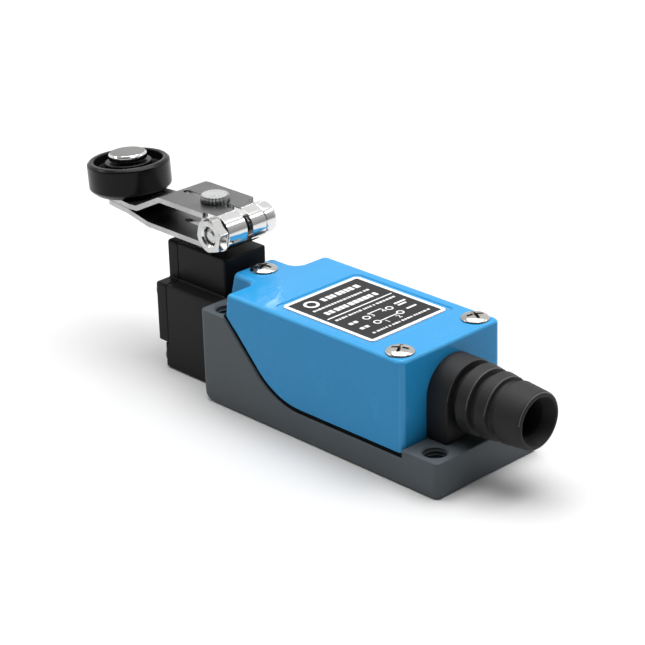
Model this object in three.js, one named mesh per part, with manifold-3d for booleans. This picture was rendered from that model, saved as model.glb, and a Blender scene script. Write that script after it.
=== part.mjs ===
// Miniature limit switch with a side rotary roller lever, lying on its mounting face.
// Units are millimetres. Z = 0 is the mounting face, +Z points out of the cover,
// +X points to the cable gland and -X to the lever head. The origin is the centre of the base.

import * as THREE from 'three';
import { mergeVertices } from 'three/addons/utils/BufferGeometryUtils.js';
import Module from 'manifold-3d';

const wasm = await Module();
wasm.setup();

// ---- Driving dimensions -------------------------------------------------------------------

const FIT_GAP = 0.1; // gap left between faces that touch

// Base
const BASE_HALF_LENGTH = 32;
const BASE_HALF_WIDTH = 14;
const FLANGE_TOP = 7.2;
const LEDGE_TOP = 19.5;
const FLOOR = 2.5;
const WALL = 2.6;
const MOUNT_X = 28;
const MOUNT_Y = 10.25;
const MOUNT_THREAD_R = 2.15;

// Cover and the seam between cover and base
const COVER_TOP = 24.7;
const COVER_HALF_WIDTH = 13.5;
const COVER_END = 22.9;
const COVER_HEAD_END = -24.3;
const COVER_WALL = 1.8;
const TONGUE_END = -31.4;
const TONGUE_HALF_WIDTH = 5.45;
const HEAD_SLANT = 0.14; // outward lean of the cover's faces towards the head, per mm down
const SEAM_LOW = 6.05;
const SEAM_HIGH = 20;
const SEAM_HIGH_X = -24.6;
const SEAM_ARC_R = 16;
const SEAM_ANGLE = THREE.MathUtils.degToRad(46);
const GASKET = 0.6;
const SEAM_GAP = GASKET + 2 * FIT_GAP;
const EDGE = 0.7;

// Cover screws
const SCREW_X = 19.4;
const SCREW_Y = 10.25;
const HEAD_SCREW_X = -28;
const SCREW_HEAD_R = 2.8;
const SCREW_R = 1.5;
const PILLAR_R = 2.6;

// Nameplate
const PLATE = { x0: -11.95, x1: 12.75, y0: -10.65, y1: 10.15, depth: 0.25, margin: 0.9 };

// Cable gland
const GLAND_Z = 15;
const GLAND_TIP = 44.2;
const GLAND_BORE_R = 3.8;
const GLAND_NECK_R = 5.5;
const GLAND_COLLAR_R = 7.05;
const GLAND_COLLAR_END = 28;

// Head
const SHAFT_X = -41.9;
const SHAFT_R = 3;
const HEAD_NEAR = -32.7;
const HEAD_FAR = -47.8;
const HEAD_HALF_WIDTH = 9.3;
const HEAD_TOP = 18.6;
const HEAD_LIP_TOP = 5.3;
const TOWER_NEAR = -33.3;
const TOWER_HALF_WIDTH = 5.65;
const TOWER_TOP = 26.8;
const END_PLATE_FAR = -50.9;
const PLUNGER_Z = 9.3;
const PLUNGER_R = 1.9;
const HEAD_SCREW_OFFSET = 7;
const CAM_R = 5.2;
const CAM_FLAT = 4.2;

// Lever, measured from the shaft axis and from the underside of the lever
const LEVER_Z = 28.5;
const STRAP = 1.1;
const STRAP_HALF_WIDTH = 6.6;
const CLAMP_X = 6.9;
const CLAMP_R = 3.15;
const TOP_LAYER_Z = 6.85;
const PIN_X = -26.6;
const PIN_LIFT = 0.8;
const ROLLER_TILT = THREE.MathUtils.degToRad(4);
const ROLLER_R = 8.75;
const ROLLER_BOTTOM = 2.4;
const ROLLER_HEIGHT = 6.8;
const PIN_R = 2;
const SHAFT_TOP = 37.3;

// Contact block
const BLOCK = { x0: -21.6, x1: 9, halfWidth: 9.2, z0: 2.6, z1: 14.6 };

// Facets round a circle: large or visible, ordinary, and small
const SMOOTH = 28;
const ROUND = 18;
const SMALL = 10;

// ---- Materials ----------------------------------------------------------------------------

const finish = (color, roughness, metalness) =>
  new THREE.MeshStandardMaterial({ color, roughness, metalness });

const castGrey = finish(0x4d5358, 0.5, 0.1);
const coverBlue = finish(0x3d9fdc, 0.25, 0);
const headBlack = finish(0x242425, 0.45, 0);
const rubberBlack = finish(0x2b2b2b, 0.8, 0);
const platedSteel = finish(0xd8d8d4, 0.15, 1);
const strapSteel = finish(0x8c8c8c, 0.35, 1);
const rollerBlack = finish(0x1b1b1c, 0.25, 0);
const plateBlack = finish(0x202124, 0.35, 0.2);
const brass = finish(0xb8974a, 0.3, 1);
const phenolic = finish(0x2a1d18, 0.6, 0);
const springSteel = finish(0xa8a8a4, 0.3, 1);

// ---- Solid helpers ------------------------------------------------------------------------

function toSolid(geometry) {
  const bare = geometry.clone();
  bare.deleteAttribute('normal');
  bare.deleteAttribute('uv');
  const merged = mergeVertices(bare, 1e-5);
  return new wasm.Manifold(new wasm.Mesh({
    numProp: 3,
    vertProperties: new Float32Array(merged.attributes.position.array),
    triVerts: new Uint32Array(merged.index.array),
  }));
}

function toGeometry(solid) {
  const mesh = solid.getMesh();
  const geometry = new THREE.BufferGeometry();
  geometry.setAttribute('position', new THREE.BufferAttribute(mesh.vertProperties, 3));
  geometry.setIndex(new THREE.BufferAttribute(mesh.triVerts, 1));
  geometry.computeVertexNormals();
  return geometry;
}

const join = (...solids) => solids.reduce((whole, next) => whole.add(next));
const cut = (body, ...tools) => tools.reduce((rest, tool) => rest.subtract(tool), body);

function box(x0, x1, y0, y1, z0, z1) {
  const geometry = new THREE.BoxGeometry(x1 - x0, y1 - y0, z1 - z0);
  geometry.translate((x0 + x1) / 2, (y0 + y1) / 2, (z0 + z1) / 2);
  return toSolid(geometry);
}

// A cylinder between two heights along one axis; (u, v) is its centre in the other two axes.
function rod(axis, radius, from, to, u = 0, v = 0, segments = ROUND) {
  const geometry = new THREE.CylinderGeometry(radius, radius, to - from, segments);
  const middle = (from + to) / 2;
  if (axis === 'x') {
    geometry.rotateZ(-Math.PI / 2);
    geometry.translate(middle, u, v);
  } else if (axis === 'y') {
    geometry.translate(u, middle, v);
  } else {
    geometry.rotateX(Math.PI / 2);
    geometry.translate(u, v, middle);
  }
  return toSolid(geometry);
}

// A turned solid about the Z axis, or about the X axis, from [radius, height] points.
function turned(points, axis = 'z', segments = SMOOTH) {
  const profile = points.map(([radius, height]) => new THREE.Vector2(radius, height));
  const geometry = new THREE.LatheGeometry(profile, segments);
  if (axis === 'x') {
    geometry.rotateZ(-Math.PI / 2);
  } else {
    geometry.rotateX(Math.PI / 2);
  }
  return toSolid(geometry);
}

// An outline in the XZ plane, pushed out along Y.
function sidePrism(shape, y0, y1) {
  const geometry = new THREE.ExtrudeGeometry(shape, {
    depth: y1 - y0, bevelEnabled: false, curveSegments: 5,
  });
  geometry.rotateX(Math.PI / 2);
  geometry.translate(0, y1, 0);
  return toSolid(geometry);
}

// An outline in the XY plane, pushed up along Z, with an optional rounded top edge.
function planPrism(shape, z0, z1, edge = 0, curveSegments = 3) {
  const geometry = new THREE.ExtrudeGeometry(shape, {
    depth: z1 - z0 - 2 * edge, bevelEnabled: edge > 0, bevelSize: edge, bevelThickness: edge,
    bevelOffset: -edge, bevelSegments: 2, curveSegments,
  });
  geometry.translate(0, 0, z0 + edge);
  return toSolid(geometry);
}

function roundedRect(x0, x1, y0, y1, radius) {
  const shape = new THREE.Shape();
  shape.moveTo(x0 + radius, y0);
  shape.lineTo(x1 - radius, y0);
  shape.absarc(x1 - radius, y0 + radius, radius, -Math.PI / 2, 0);
  shape.lineTo(x1, y1 - radius);
  shape.absarc(x1 - radius, y1 - radius, radius, 0, Math.PI / 2);
  shape.lineTo(x0 + radius, y1);
  shape.absarc(x0 + radius, y1 - radius, radius, Math.PI / 2, Math.PI);
  shape.lineTo(x0, y0 + radius);
  shape.absarc(x0 + radius, y0 + radius, radius, Math.PI, 1.5 * Math.PI);
  return shape;
}

function node(parent, name, solid, material) {
  const geometry = solid.isBufferGeometry ? solid : toGeometry(solid);
  const mesh = new THREE.Mesh(geometry, material);
  mesh.name = name;
  parent.add(mesh);
  return mesh;
}

// ---- Seam between base and cover ----------------------------------------------------------

// The seam runs level from the cable end, turns up through one arc and climbs straight to the
// ledge. `drop` lowers the whole line along its normal.
function seamPoints(drop) {
  const slopeX = Math.sin(SEAM_ANGLE);
  const slopeZ = Math.cos(SEAM_ANGLE);
  const tangent = SEAM_ARC_R * Math.tan(SEAM_ANGLE / 2);
  const cornerX = SEAM_HIGH_X + (SEAM_HIGH - SEAM_LOW) / Math.tan(SEAM_ANGLE);
  const centre = new THREE.Vector2(cornerX + tangent, SEAM_LOW + SEAM_ARC_R);
  const arcSteps = 7;
  const points = [];
  for (let step = 0; step <= arcSteps; step += 1) {
    const turn = SEAM_ANGLE * (step / arcSteps);
    const radius = SEAM_ARC_R + drop;
    points.push(new THREE.Vector2(
      centre.x - radius * Math.sin(turn), centre.y - radius * Math.cos(turn)));
  }
  points.push(new THREE.Vector2(SEAM_HIGH_X - drop * slopeX, SEAM_HIGH - drop * slopeZ));
  return points;
}

// ---- Base ---------------------------------------------------------------------------------

function makeBase() {
  const side = new THREE.Shape();
  const cornerR = 1.6;
  side.moveTo(-BASE_HALF_LENGTH + cornerR, 0);
  side.lineTo(BASE_HALF_LENGTH, 0);
  side.lineTo(BASE_HALF_LENGTH, FLANGE_TOP);
  side.lineTo(COVER_END + 0.3, FLANGE_TOP);
  side.lineTo(COVER_END + 0.3, SEAM_LOW - SEAM_GAP);
  seamPoints(SEAM_GAP).forEach((point) => {
    if (point.y < LEDGE_TOP) side.lineTo(point.x, point.y);
  });
  side.lineTo(SEAM_HIGH_X - SEAM_GAP * Math.sin(SEAM_ANGLE), LEDGE_TOP);
  side.lineTo(-BASE_HALF_LENGTH, LEDGE_TOP);
  side.lineTo(-BASE_HALF_LENGTH, cornerR);
  side.absarc(-BASE_HALF_LENGTH + cornerR, cornerR, cornerR, Math.PI, 1.5 * Math.PI);

  const plan = roundedRect(
    -BASE_HALF_LENGTH, BASE_HALF_LENGTH, -BASE_HALF_WIDTH, BASE_HALF_WIDTH, 1);
  let base = sidePrism(side, -BASE_HALF_WIDTH, BASE_HALF_WIDTH)
    .intersect(planPrism(plan, -1, LEDGE_TOP + 1));

  const innerWidth = BASE_HALF_WIDTH - WALL;
  const cavityEnd = SEAM_HIGH_X;
  base = cut(
    base,
    box(cavityEnd, 20.2, -innerWidth, innerWidth, FLOOR, 30),
    box(-28.6, cavityEnd + 1, -6.5, 6.5, FLOOR, 12.6),
    rod('x', PLUNGER_R + 0.2, -33, -28, 0, PLUNGER_Z),
    rod('x', 3.4, -33, -30.4, 0, PLUNGER_Z),
  );

  const postTop = SEAM_LOW - SEAM_GAP;
  for (const y of [-SCREW_Y, SCREW_Y]) {
    base = base.add(rod('z', PILLAR_R, FLOOR - 0.5, postTop, SCREW_X, y));
    base = cut(base, rod('z', SCREW_R - 0.15, 1.2, postTop + 1, SCREW_X, y, SMALL));
  }
  base = cut(base, rod('z', SCREW_R - 0.15, 13.2, LEDGE_TOP + 1, HEAD_SCREW_X, 0, SMALL));

  for (const x of [-MOUNT_X, MOUNT_X]) {
    for (const y of [-MOUNT_Y, MOUNT_Y]) {
      base = cut(base, rod('z', MOUNT_THREAD_R, -1, LEDGE_TOP + 1, x, y));
    }
  }
  for (const y of [-HEAD_SCREW_OFFSET, HEAD_SCREW_OFFSET]) {
    for (const z of [-HEAD_SCREW_OFFSET, HEAD_SCREW_OFFSET]) {
      base = cut(base, rod('x', 1.15, -33, -29.2, y, PLUNGER_Z + z, SMALL));
    }
  }
  return base;
}

// ---- Gasket: a frame that follows the seam all round --------------------------------------

function seamBand(lowDrop, highDrop, y0, y1, x1) {
  const shape = new THREE.Shape();
  const lower = seamPoints(highDrop);
  const upper = seamPoints(lowDrop);
  shape.moveTo(x1, lower[0].y);
  lower.forEach((point) => shape.lineTo(point.x, point.y));
  upper.slice().reverse().forEach((point) => shape.lineTo(point.x, point.y));
  shape.lineTo(x1, upper[0].y);
  return sidePrism(shape, y0, y1);
}

function makeGasket() {
  const outer = COVER_HALF_WIDTH + 0.1;
  const inner = BASE_HALF_WIDTH - WALL + 0.2;
  const bandTop = FIT_GAP;
  const bandBottom = FIT_GAP + GASKET;
  const near = seamBand(bandTop, bandBottom, -outer, -inner, COVER_END);
  const far = seamBand(bandTop, bandBottom, inner, outer, COVER_END);
  const low = SEAM_LOW - bandBottom;
  const cableEnd = box(21, COVER_END, -outer, outer, low, SEAM_LOW - FIT_GAP);
  const headLow = LEDGE_TOP + FIT_GAP;
  const headEnd = box(-26.2, -24.75, -outer, outer, headLow, headLow + 0.3);
  const headClear = rod('z', MOUNT_THREAD_R + 0.2, headLow - 1, headLow + 1, -MOUNT_X, -MOUNT_Y);
  const headClearFar = rod('z', MOUNT_THREAD_R + 0.2, headLow - 1, headLow + 1, -MOUNT_X, MOUNT_Y);
  let frame = join(near, far, cableEnd, headEnd);
  for (const y of [-SCREW_Y, SCREW_Y]) {
    const pad = rod('z', PILLAR_R, low, SEAM_LOW - FIT_GAP, SCREW_X, y);
    frame = frame.add(pad);
    frame = cut(frame, rod('z', SCREW_R + 0.2, low - 1, SEAM_LOW + 1, SCREW_X, y, SMALL));
  }
  return cut(frame, headClear, headClearFar);
}

// ---- Cover --------------------------------------------------------------------------------

// Plan outline of the cover: a rectangle with a narrower tongue towards the head.
function coverOutline(inset) {
  const end = COVER_END - inset;
  const half = COVER_HALF_WIDTH - inset;
  const shoulder = COVER_HEAD_END + inset;
  const tongue = TONGUE_END + inset;
  const tongueHalf = TONGUE_HALF_WIDTH - inset;
  const corner = Math.max(1.1 - inset, 0.4);
  const sharp = Math.max(0.75 - inset, 0.3);
  const root = 2.4;
  const shape = new THREE.Shape();
  shape.moveTo(end - corner, -half);
  shape.absarc(end - corner, -half + corner, corner, -Math.PI / 2, 0);
  shape.lineTo(end, half - corner);
  shape.absarc(end - corner, half - corner, corner, 0, Math.PI / 2);
  shape.lineTo(shoulder + sharp, half);
  shape.absarc(shoulder + sharp, half - sharp, sharp, Math.PI / 2, Math.PI);
  shape.lineTo(shoulder, tongueHalf + root);
  shape.absarc(shoulder - root, tongueHalf + root, root, 0, -Math.PI / 2, true);
  shape.lineTo(tongue + corner, tongueHalf);
  shape.absarc(tongue + corner, tongueHalf - corner, corner, Math.PI / 2, Math.PI);
  shape.lineTo(tongue, -tongueHalf + corner);
  shape.absarc(tongue + corner, -tongueHalf + corner, corner, Math.PI, 1.5 * Math.PI);
  shape.lineTo(shoulder - root, -tongueHalf);
  shape.absarc(shoulder - root, -tongueHalf - root, root, Math.PI / 2, 0, true);
  shape.lineTo(shoulder, -half + sharp);
  shape.absarc(shoulder + sharp, -half + sharp, sharp, Math.PI, 1.5 * Math.PI);
  return shape;
}

// Side outline that trims a block to everything above the seam.
function aboveSeam(drop, y0, y1) {
  const shape = new THREE.Shape();
  const points = seamPoints(drop);
  const last = points[points.length - 1];
  shape.moveTo(COVER_END + 5, points[0].y);
  points.forEach((point) => shape.lineTo(point.x, point.y));
  shape.lineTo(-40, last.y);
  shape.lineTo(-40, COVER_TOP + 5);
  shape.lineTo(COVER_END + 5, COVER_TOP + 5);
  return sidePrism(shape, y0, y1);
}

// Moves a point of the cover out by the lean of the faces towards the head.
function leanOut(point) {
  const lean = HEAD_SLANT * (COVER_TOP - point[2]);
  const onShoulder = THREE.MathUtils.clamp((COVER_HEAD_END + 2.3 - point[0]) / 2.3, 0, 1);
  const onTongue = THREE.MathUtils.clamp((COVER_HEAD_END - point[0]) / 2.4, 0, 1);
  point[0] -= lean * onShoulder;
  point[1] += lean * onTongue * Math.sign(point[1]);
}

function makeCover() {
  const outside = planPrism(coverOutline(0), SEAM_LOW - 3, COVER_TOP, EDGE)
    .warp(leanOut)
    .intersect(aboveSeam(0, -20, 20));
  const inside = planPrism(coverOutline(COVER_WALL), SEAM_LOW - 5, COVER_TOP - COVER_WALL)
    .intersect(box(COVER_HEAD_END + COVER_WALL, COVER_END, -20, 20, 0, 30));
  let cover = outside.subtract(inside);
  const bridge = aboveSeam(0, -20, 20);
  for (const y of [-SCREW_Y, SCREW_Y]) {
    const pillar = rod('z', PILLAR_R, SEAM_LOW, COVER_TOP - 1, SCREW_X, y).intersect(bridge);
    cover = cover.add(pillar);
    cover = cut(cover, rod('z', SCREW_R + 0.2, 0, 30, SCREW_X, y, SMALL));
  }
  const recess = roundedRect(
    PLATE.x0 - PLATE.margin, PLATE.x1 + PLATE.margin,
    PLATE.y0 - PLATE.margin, PLATE.y1 + PLATE.margin, 1.2);
  return cut(
    cover,
    rod('z', SCREW_R + 0.2, 0, 30, HEAD_SCREW_X, 0, SMALL),
    rod('x', GLAND_NECK_R + FIT_GAP, COVER_END - 4, COVER_END + 2, 0, GLAND_Z, SMOOTH),
    planPrism(recess, COVER_TOP - PLATE.depth - 0.1, COVER_TOP + 1),
  );
}

function makeNameplate() {
  const outline = roundedRect(PLATE.x0, PLATE.x1, PLATE.y0, PLATE.y1, 1.2);
  const top = COVER_TOP - 0.05;
  return planPrism(outline, top - PLATE.depth + 0.03, top);
}

// ---- Fasteners ----------------------------------------------------------------------------

// A cross-recessed pan head screw with its seat at height 0, pointing down.
function panScrew(headR, headHeight, shankR, length, segments = SMALL) {
  const rim = headHeight * 0.42;
  const screw = turned([
    [0, -length], [shankR, -length], [shankR, 0], [headR, 0], [headR, rim],
    [headR * 0.75, headHeight * 0.85], [0, headHeight],
  ], 'z', segments);
  const slotLength = headR * 1.1;
  const slotWidth = headR * 0.24;
  const slotFloor = headHeight * 0.4;
  return cut(
    screw,
    box(-slotLength / 2, slotLength / 2, -slotWidth / 2, slotWidth / 2, slotFloor, headHeight + 1),
    box(-slotWidth / 2, slotWidth / 2, -slotLength / 2, slotLength / 2, slotFloor, headHeight + 1),
  );
}

// ---- Cable gland --------------------------------------------------------------------------

// Rubber boot: inner flange, neck in the cover wall, a collar that stands on the base, two rings
// and an end cone.
function makeGland() {
  const wallInside = COVER_END - COVER_WALL - FIT_GAP;
  const wallOutside = COVER_END + FIT_GAP;
  const groove = 5.3;
  const boot = turned([
    [0, wallInside - 2.6], [7, wallInside - 2.6], [7, wallInside],
    [GLAND_NECK_R, wallInside], [GLAND_NECK_R, wallOutside],
    [GLAND_COLLAR_R, wallOutside], [GLAND_COLLAR_R, GLAND_COLLAR_END],
    [groove, GLAND_COLLAR_END + 0.2], [groove, 29.6],
    [6.9, 29.8], [6.6, 32.3], [groove, 32.5], [groove, 33.8], [6.6, 34], [6.3, 36.4],
    [groove, 36.6], [groove, 38.2], [6.15, 38.4], [5.6, GLAND_TIP - 0.5], [5.1, GLAND_TIP],
    [0, GLAND_TIP],
  ], 'x');
  const bore = turned([
    [0, 10], [GLAND_BORE_R, 10], [GLAND_BORE_R, GLAND_TIP - 1],
    [GLAND_BORE_R + 0.5, GLAND_TIP + 0.1], [GLAND_BORE_R + 0.5, 50], [0, 50],
  ], 'x');
  const foot = box(
    wallOutside, GLAND_COLLAR_END, -GLAND_COLLAR_R, GLAND_COLLAR_R,
    FLANGE_TOP + FIT_GAP - GLAND_Z, 0);
  return join(boot, foot).subtract(bore);
}

// ---- Contact block ------------------------------------------------------------------------

// The outer pair of terminals is closed at rest, the inner pair closes when the button moves.
// `reach` is where the contact leg stands, `shift` how far it is offset from its screw pad.
const TERMINALS = [
  { y: -6.6, shift: 0, reach: BLOCK.x0 + 5.7 },
  { y: -2.2, shift: -2.4, reach: BLOCK.x0 + 9.4 },
  { y: 2.2, shift: 2.4, reach: BLOCK.x0 + 9.4 },
  { y: 6.6, shift: 0, reach: BLOCK.x0 + 5.7 },
];

function makeBlockCase() {
  const { x0, x1, halfWidth, z0, z1 } = BLOCK;
  let block = box(x0, x1, -halfWidth, halfWidth, z0, z1);
  block = cut(block, box(x0 + 2.8, x1 - 4, -halfWidth + 1.6, halfWidth - 1.6, 5.4, z1 + 1));
  block = cut(block, rod('x', 2.1, x0 - 1, x0 + 3, 0, PLUNGER_Z));
  for (const { y } of TERMINALS) {
    block = cut(
      block,
      box(x1 - 4.5, x1 + 1, y - 1.45, y + 1.45, z1 - 1.2, z1 + 1),
      rod('z', 0.9, z1 - 4, z1, x1 - 1.5, y, SMALL),
    );
  }
  for (const y of [-7, 7]) {
    block = cut(block, rod('z', 1.2, z1 - 8, z1 + 1, x0 + 1.4, y, SMALL));
  }
  return block;
}

function makeBlockLid() {
  const { x0, x1, halfWidth, z1 } = BLOCK;
  const low = z1 + FIT_GAP;
  let lid = box(x0, x1 - 4.2, -halfWidth, halfWidth, low, low + 1.5);
  for (const y of [-7, 7]) {
    lid = cut(lid, rod('z', 1.3, low - 1, low + 3, x0 + 1.4, y, SMALL));
  }
  return lid;
}

// Snap button: a round nose outside the block and a square carrier inside it.
function makeButton() {
  const { x0 } = BLOCK;
  const nose = rod('x', 1.9, x0 - 1.8, x0 + 3.4, 0, PLUNGER_Z);
  const carrier = box(x0 + 3.3, x0 + 9.5, -1.6, 1.6, PLUNGER_Z - 1.6, PLUNGER_Z + 1.6);
  const window = box(x0 + 6.9, x0 + 8.1, -3, 3, PLUNGER_Z - 0.9, PLUNGER_Z + 0.9);
  return cut(join(nose, carrier), window);
}

function makeBridge() {
  const { x0 } = BLOCK;
  const bar = box(x0 + 7.1, x0 + 7.7, -6.6, 6.6, PLUNGER_Z - 0.75, PLUNGER_Z + 0.75);
  const tips = [-5.6, 5.6].map((y) => rod('x', 0.7, x0 + 6.7, x0 + 8.1, y, PLUNGER_Z, SMALL));
  return join(bar, ...tips);
}

// Terminal strip: a screw pad at the block's wiring end, a blade and a leg at the contacts.
function makeTerminal(shift, reach) {
  const { x1, z1 } = BLOCK;
  const top = z1 - 0.1;
  const half = 0.9;
  const pad = box(x1 - 4.3, x1 + 2.2, -1.25, 1.25, top - 0.9, top);
  const neck = box(x1 - 5, x1 - 4.1, -half, half, top - 1.4, top - 0.5);
  const link = box(
    x1 - 5.9, x1 - 4.9, Math.min(0, shift) - half, Math.max(0, shift) + half,
    top - 1.4, top - 0.5);
  const blade = box(reach, x1 - 5.8, shift - half, shift + half, top - 1.4, top - 0.5);
  const leg = box(reach, reach + half, shift - half, shift + half, PLUNGER_Z - 0.7, top - 0.6);
  const hole = rod('z', half, top - 2, top + 1, x1 - 1.5, 0, SMALL);
  return cut(join(pad, neck, link, blade, leg), hole);
}

// ---- Springs ------------------------------------------------------------------------------

class Helix extends THREE.Curve {
  constructor(radius, start, end, turns) {
    super();
    Object.assign(this, { radius, start, end, turns });
  }

  getPoint(t, target = new THREE.Vector3()) {
    const angle = 2 * Math.PI * this.turns * t;
    return target.set(
      this.start + (this.end - this.start) * t,
      this.radius * Math.cos(angle), this.radius * Math.sin(angle));
  }
}

function makeSpring(radius, wireR, start, end, turns) {
  const section = new THREE.Shape();
  section.absarc(0, 0, wireR, 0, 2 * Math.PI);
  const geometry = new THREE.ExtrudeGeometry(section, {
    steps: turns * 10, curveSegments: 3, bevelEnabled: false,
    extrudePath: new Helix(radius, start + wireR, end - wireR, turns),
  });
  return toSolid(geometry);
}

// ---- Head ---------------------------------------------------------------------------------

// All head parts are made about the shaft axis: x is measured from it.
const fromShaft = (x) => x - SHAFT_X;

function makeHeadHousing() {
  const near = fromShaft(HEAD_NEAR);
  const far = fromShaft(HEAD_FAR);
  const blockPlan = roundedRect(far - 1.3, near, -HEAD_HALF_WIDTH, HEAD_HALF_WIDTH, 0.6);
  const lowerBlock = planPrism(blockPlan, 0, HEAD_TOP, 0.35, 3);
  const plateSpace = box(far - 5, far, -10, 10, HEAD_LIP_TOP, 30);
  const towerPlan = roundedRect(
    far - 3, fromShaft(TOWER_NEAR), -TOWER_HALF_WIDTH, TOWER_HALF_WIDTH, 0.9);
  const tower = planPrism(towerPlan, HEAD_TOP - 2, TOWER_TOP, 0.3, 3);
  let housing = cut(join(lowerBlock, tower), plateSpace);
  housing = cut(
    housing,
    box(far - 5, fromShaft(-36.6), -5.6, 5.6, 3.9, 14.7),
    rod('x', 4.4, fromShaft(-37), fromShaft(-33.6), 0, PLUNGER_Z),
    rod('x', 3.4, fromShaft(-34), near + 1, 0, PLUNGER_Z),
    rod('z', 2.2, 1.4, 5, 0, 0),
    rod('z', 4.3, 14, TOWER_TOP + 1, 0, 0, SMOOTH),
  );
  for (const y of [-HEAD_SCREW_OFFSET, HEAD_SCREW_OFFSET]) {
    for (const z of [-HEAD_SCREW_OFFSET, HEAD_SCREW_OFFSET]) {
      housing = cut(housing, rod('x', 1.35, far - 3, near + 1, y, PLUNGER_Z + z, SMALL));
    }
  }
  return housing;
}

function makeEndPlate() {
  const near = fromShaft(HEAD_FAR) - FIT_GAP;
  const far = fromShaft(END_PLATE_FAR);
  const low = HEAD_LIP_TOP + 0.2;
  const wide = new THREE.Shape();
  const radius = 1.4;
  wide.moveTo(near, low);
  wide.lineTo(near, TOWER_TOP);
  wide.lineTo(far, TOWER_TOP);
  wide.lineTo(far, low + radius);
  wide.absarc(far + radius, low + radius, radius, Math.PI, 1.5 * Math.PI);
  const lower = sidePrism(wide, -HEAD_HALF_WIDTH, HEAD_HALF_WIDTH);
  const gap = 30;
  const shoulder = box(far - 1, near + 1, TOWER_HALF_WIDTH, gap, HEAD_TOP, gap);
  const otherShoulder = box(far - 1, near + 1, -gap, -TOWER_HALF_WIDTH, HEAD_TOP, gap);
  let plate = cut(lower, shoulder, otherShoulder);
  for (const y of [-HEAD_SCREW_OFFSET, HEAD_SCREW_OFFSET]) {
    plate = cut(plate, rod(
      'x', 1.35, far - 1, near + 1, y, PLUNGER_Z + HEAD_SCREW_OFFSET, SMALL));
  }
  return plate;
}

function makeHeadSeal() {
  const near = fromShaft(-BASE_HALF_LENGTH) - FIT_GAP;
  const far = fromShaft(HEAD_NEAR) + FIT_GAP;
  let seal = box(far, near, -8.9, 8.9, 0.6, HEAD_TOP - 0.4);
  seal = cut(seal, rod('x', 3.5, far - 1, near + 1, 0, PLUNGER_Z));
  for (const y of [-HEAD_SCREW_OFFSET, HEAD_SCREW_OFFSET]) {
    for (const z of [-HEAD_SCREW_OFFSET, HEAD_SCREW_OFFSET]) {
      seal = cut(seal, rod('x', 1.35, far - 1, near + 1, y, PLUNGER_Z + z, SMALL));
    }
  }
  return seal;
}

function makePlunger() {
  const face = fromShaft(-36.4);
  const disc = rod('x', 3.9, face, face + 1.3, 0, PLUNGER_Z);
  const stem = rod('x', PLUNGER_R, face + 1, fromShaft(-23.6), 0, PLUNGER_Z);
  return join(disc, stem);
}

// Shaft: lower journal, cam seat, running part and a knurled clamping end.
function makeShaft() {
  const knurlFrom = LEVER_Z - 0.8;
  const body = turned([
    [0, 1.7], [2.05, 1.7], [2.05, 4], [2.5, 4], [2.5, 15.4], [SHAFT_R, 15.4],
    [SHAFT_R, knurlFrom], [SHAFT_R - 0.3, knurlFrom], [SHAFT_R - 0.4, SHAFT_TOP],
    [0, SHAFT_TOP],
  ], 'z');
  const teeth = 20;
  const knurl = new THREE.Shape();
  for (let step = 0; step < 2 * teeth; step += 1) {
    const radius = step % 2 === 0 ? SHAFT_R : SHAFT_R - 0.18;
    const angle = (Math.PI * step) / teeth;
    const x = radius * Math.cos(angle);
    const y = radius * Math.sin(angle);
    if (step === 0) knurl.moveTo(x, y);
    else knurl.lineTo(x, y);
  }
  const serrations = planPrism(knurl, knurlFrom + 0.3, SHAFT_TOP - 0.35);
  const groove = cut(
    rod('z', SHAFT_R + 1, 16, 16.8, 0, 0),
    rod('z', SHAFT_R - 0.45, 15.5, 17.3, 0, 0),
  );
  const pinHole = rod('y', 0.85, -4, 4, 0, PLUNGER_Z, SMALL);
  return cut(join(body, serrations), groove, pinHole);
}

// Cam: a round block with one flat that faces the plunger.
function makeCam() {
  const block = rod('z', CAM_R, 4.3, 14.3, 0, 0, SMOOTH);
  const flat = box(CAM_FLAT, 10, -10, 10, 0, 20);
  const bore = rod('z', 2.6, 0, 20, 0, 0);
  const pinHole = rod('y', 0.85, -10, 10, 0, PLUNGER_Z, SMALL);
  return cut(block, flat, bore, pinHole);
}

function makeCirclip() {
  const ring = cut(rod('z', 3.9, 16.1, 16.7, 0, 0), rod('z', SHAFT_R - 0.35, 15, 18, 0, 0));
  return ring.subtract(box(1, 6, -1.3, 1.3, 15, 18));
}

const makeBush = () => cut(
  rod('z', 4.2, 17.3, 24.4, 0, 0, SMOOTH), rod('z', SHAFT_R + 0.08, 16, 26, 0, 0, SMOOTH));

function makeSealRing() {
  const points = [];
  for (let step = 0; step <= SMALL; step += 1) {
    const angle = (2 * Math.PI * step) / SMALL;
    points.push([3.62 + 0.5 * Math.cos(angle), 25.05 + 0.5 * Math.sin(angle)]);
  }
  return turned(points, 'z', ROUND);
}

const makeSealWasher = () => cut(
  rod('z', 4.2, 25.7, 26.5, 0, 0, SMOOTH), rod('z', SHAFT_R + 0.15, 25, 27, 0, 0, SMOOTH));

// ---- Lever --------------------------------------------------------------------------------

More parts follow.
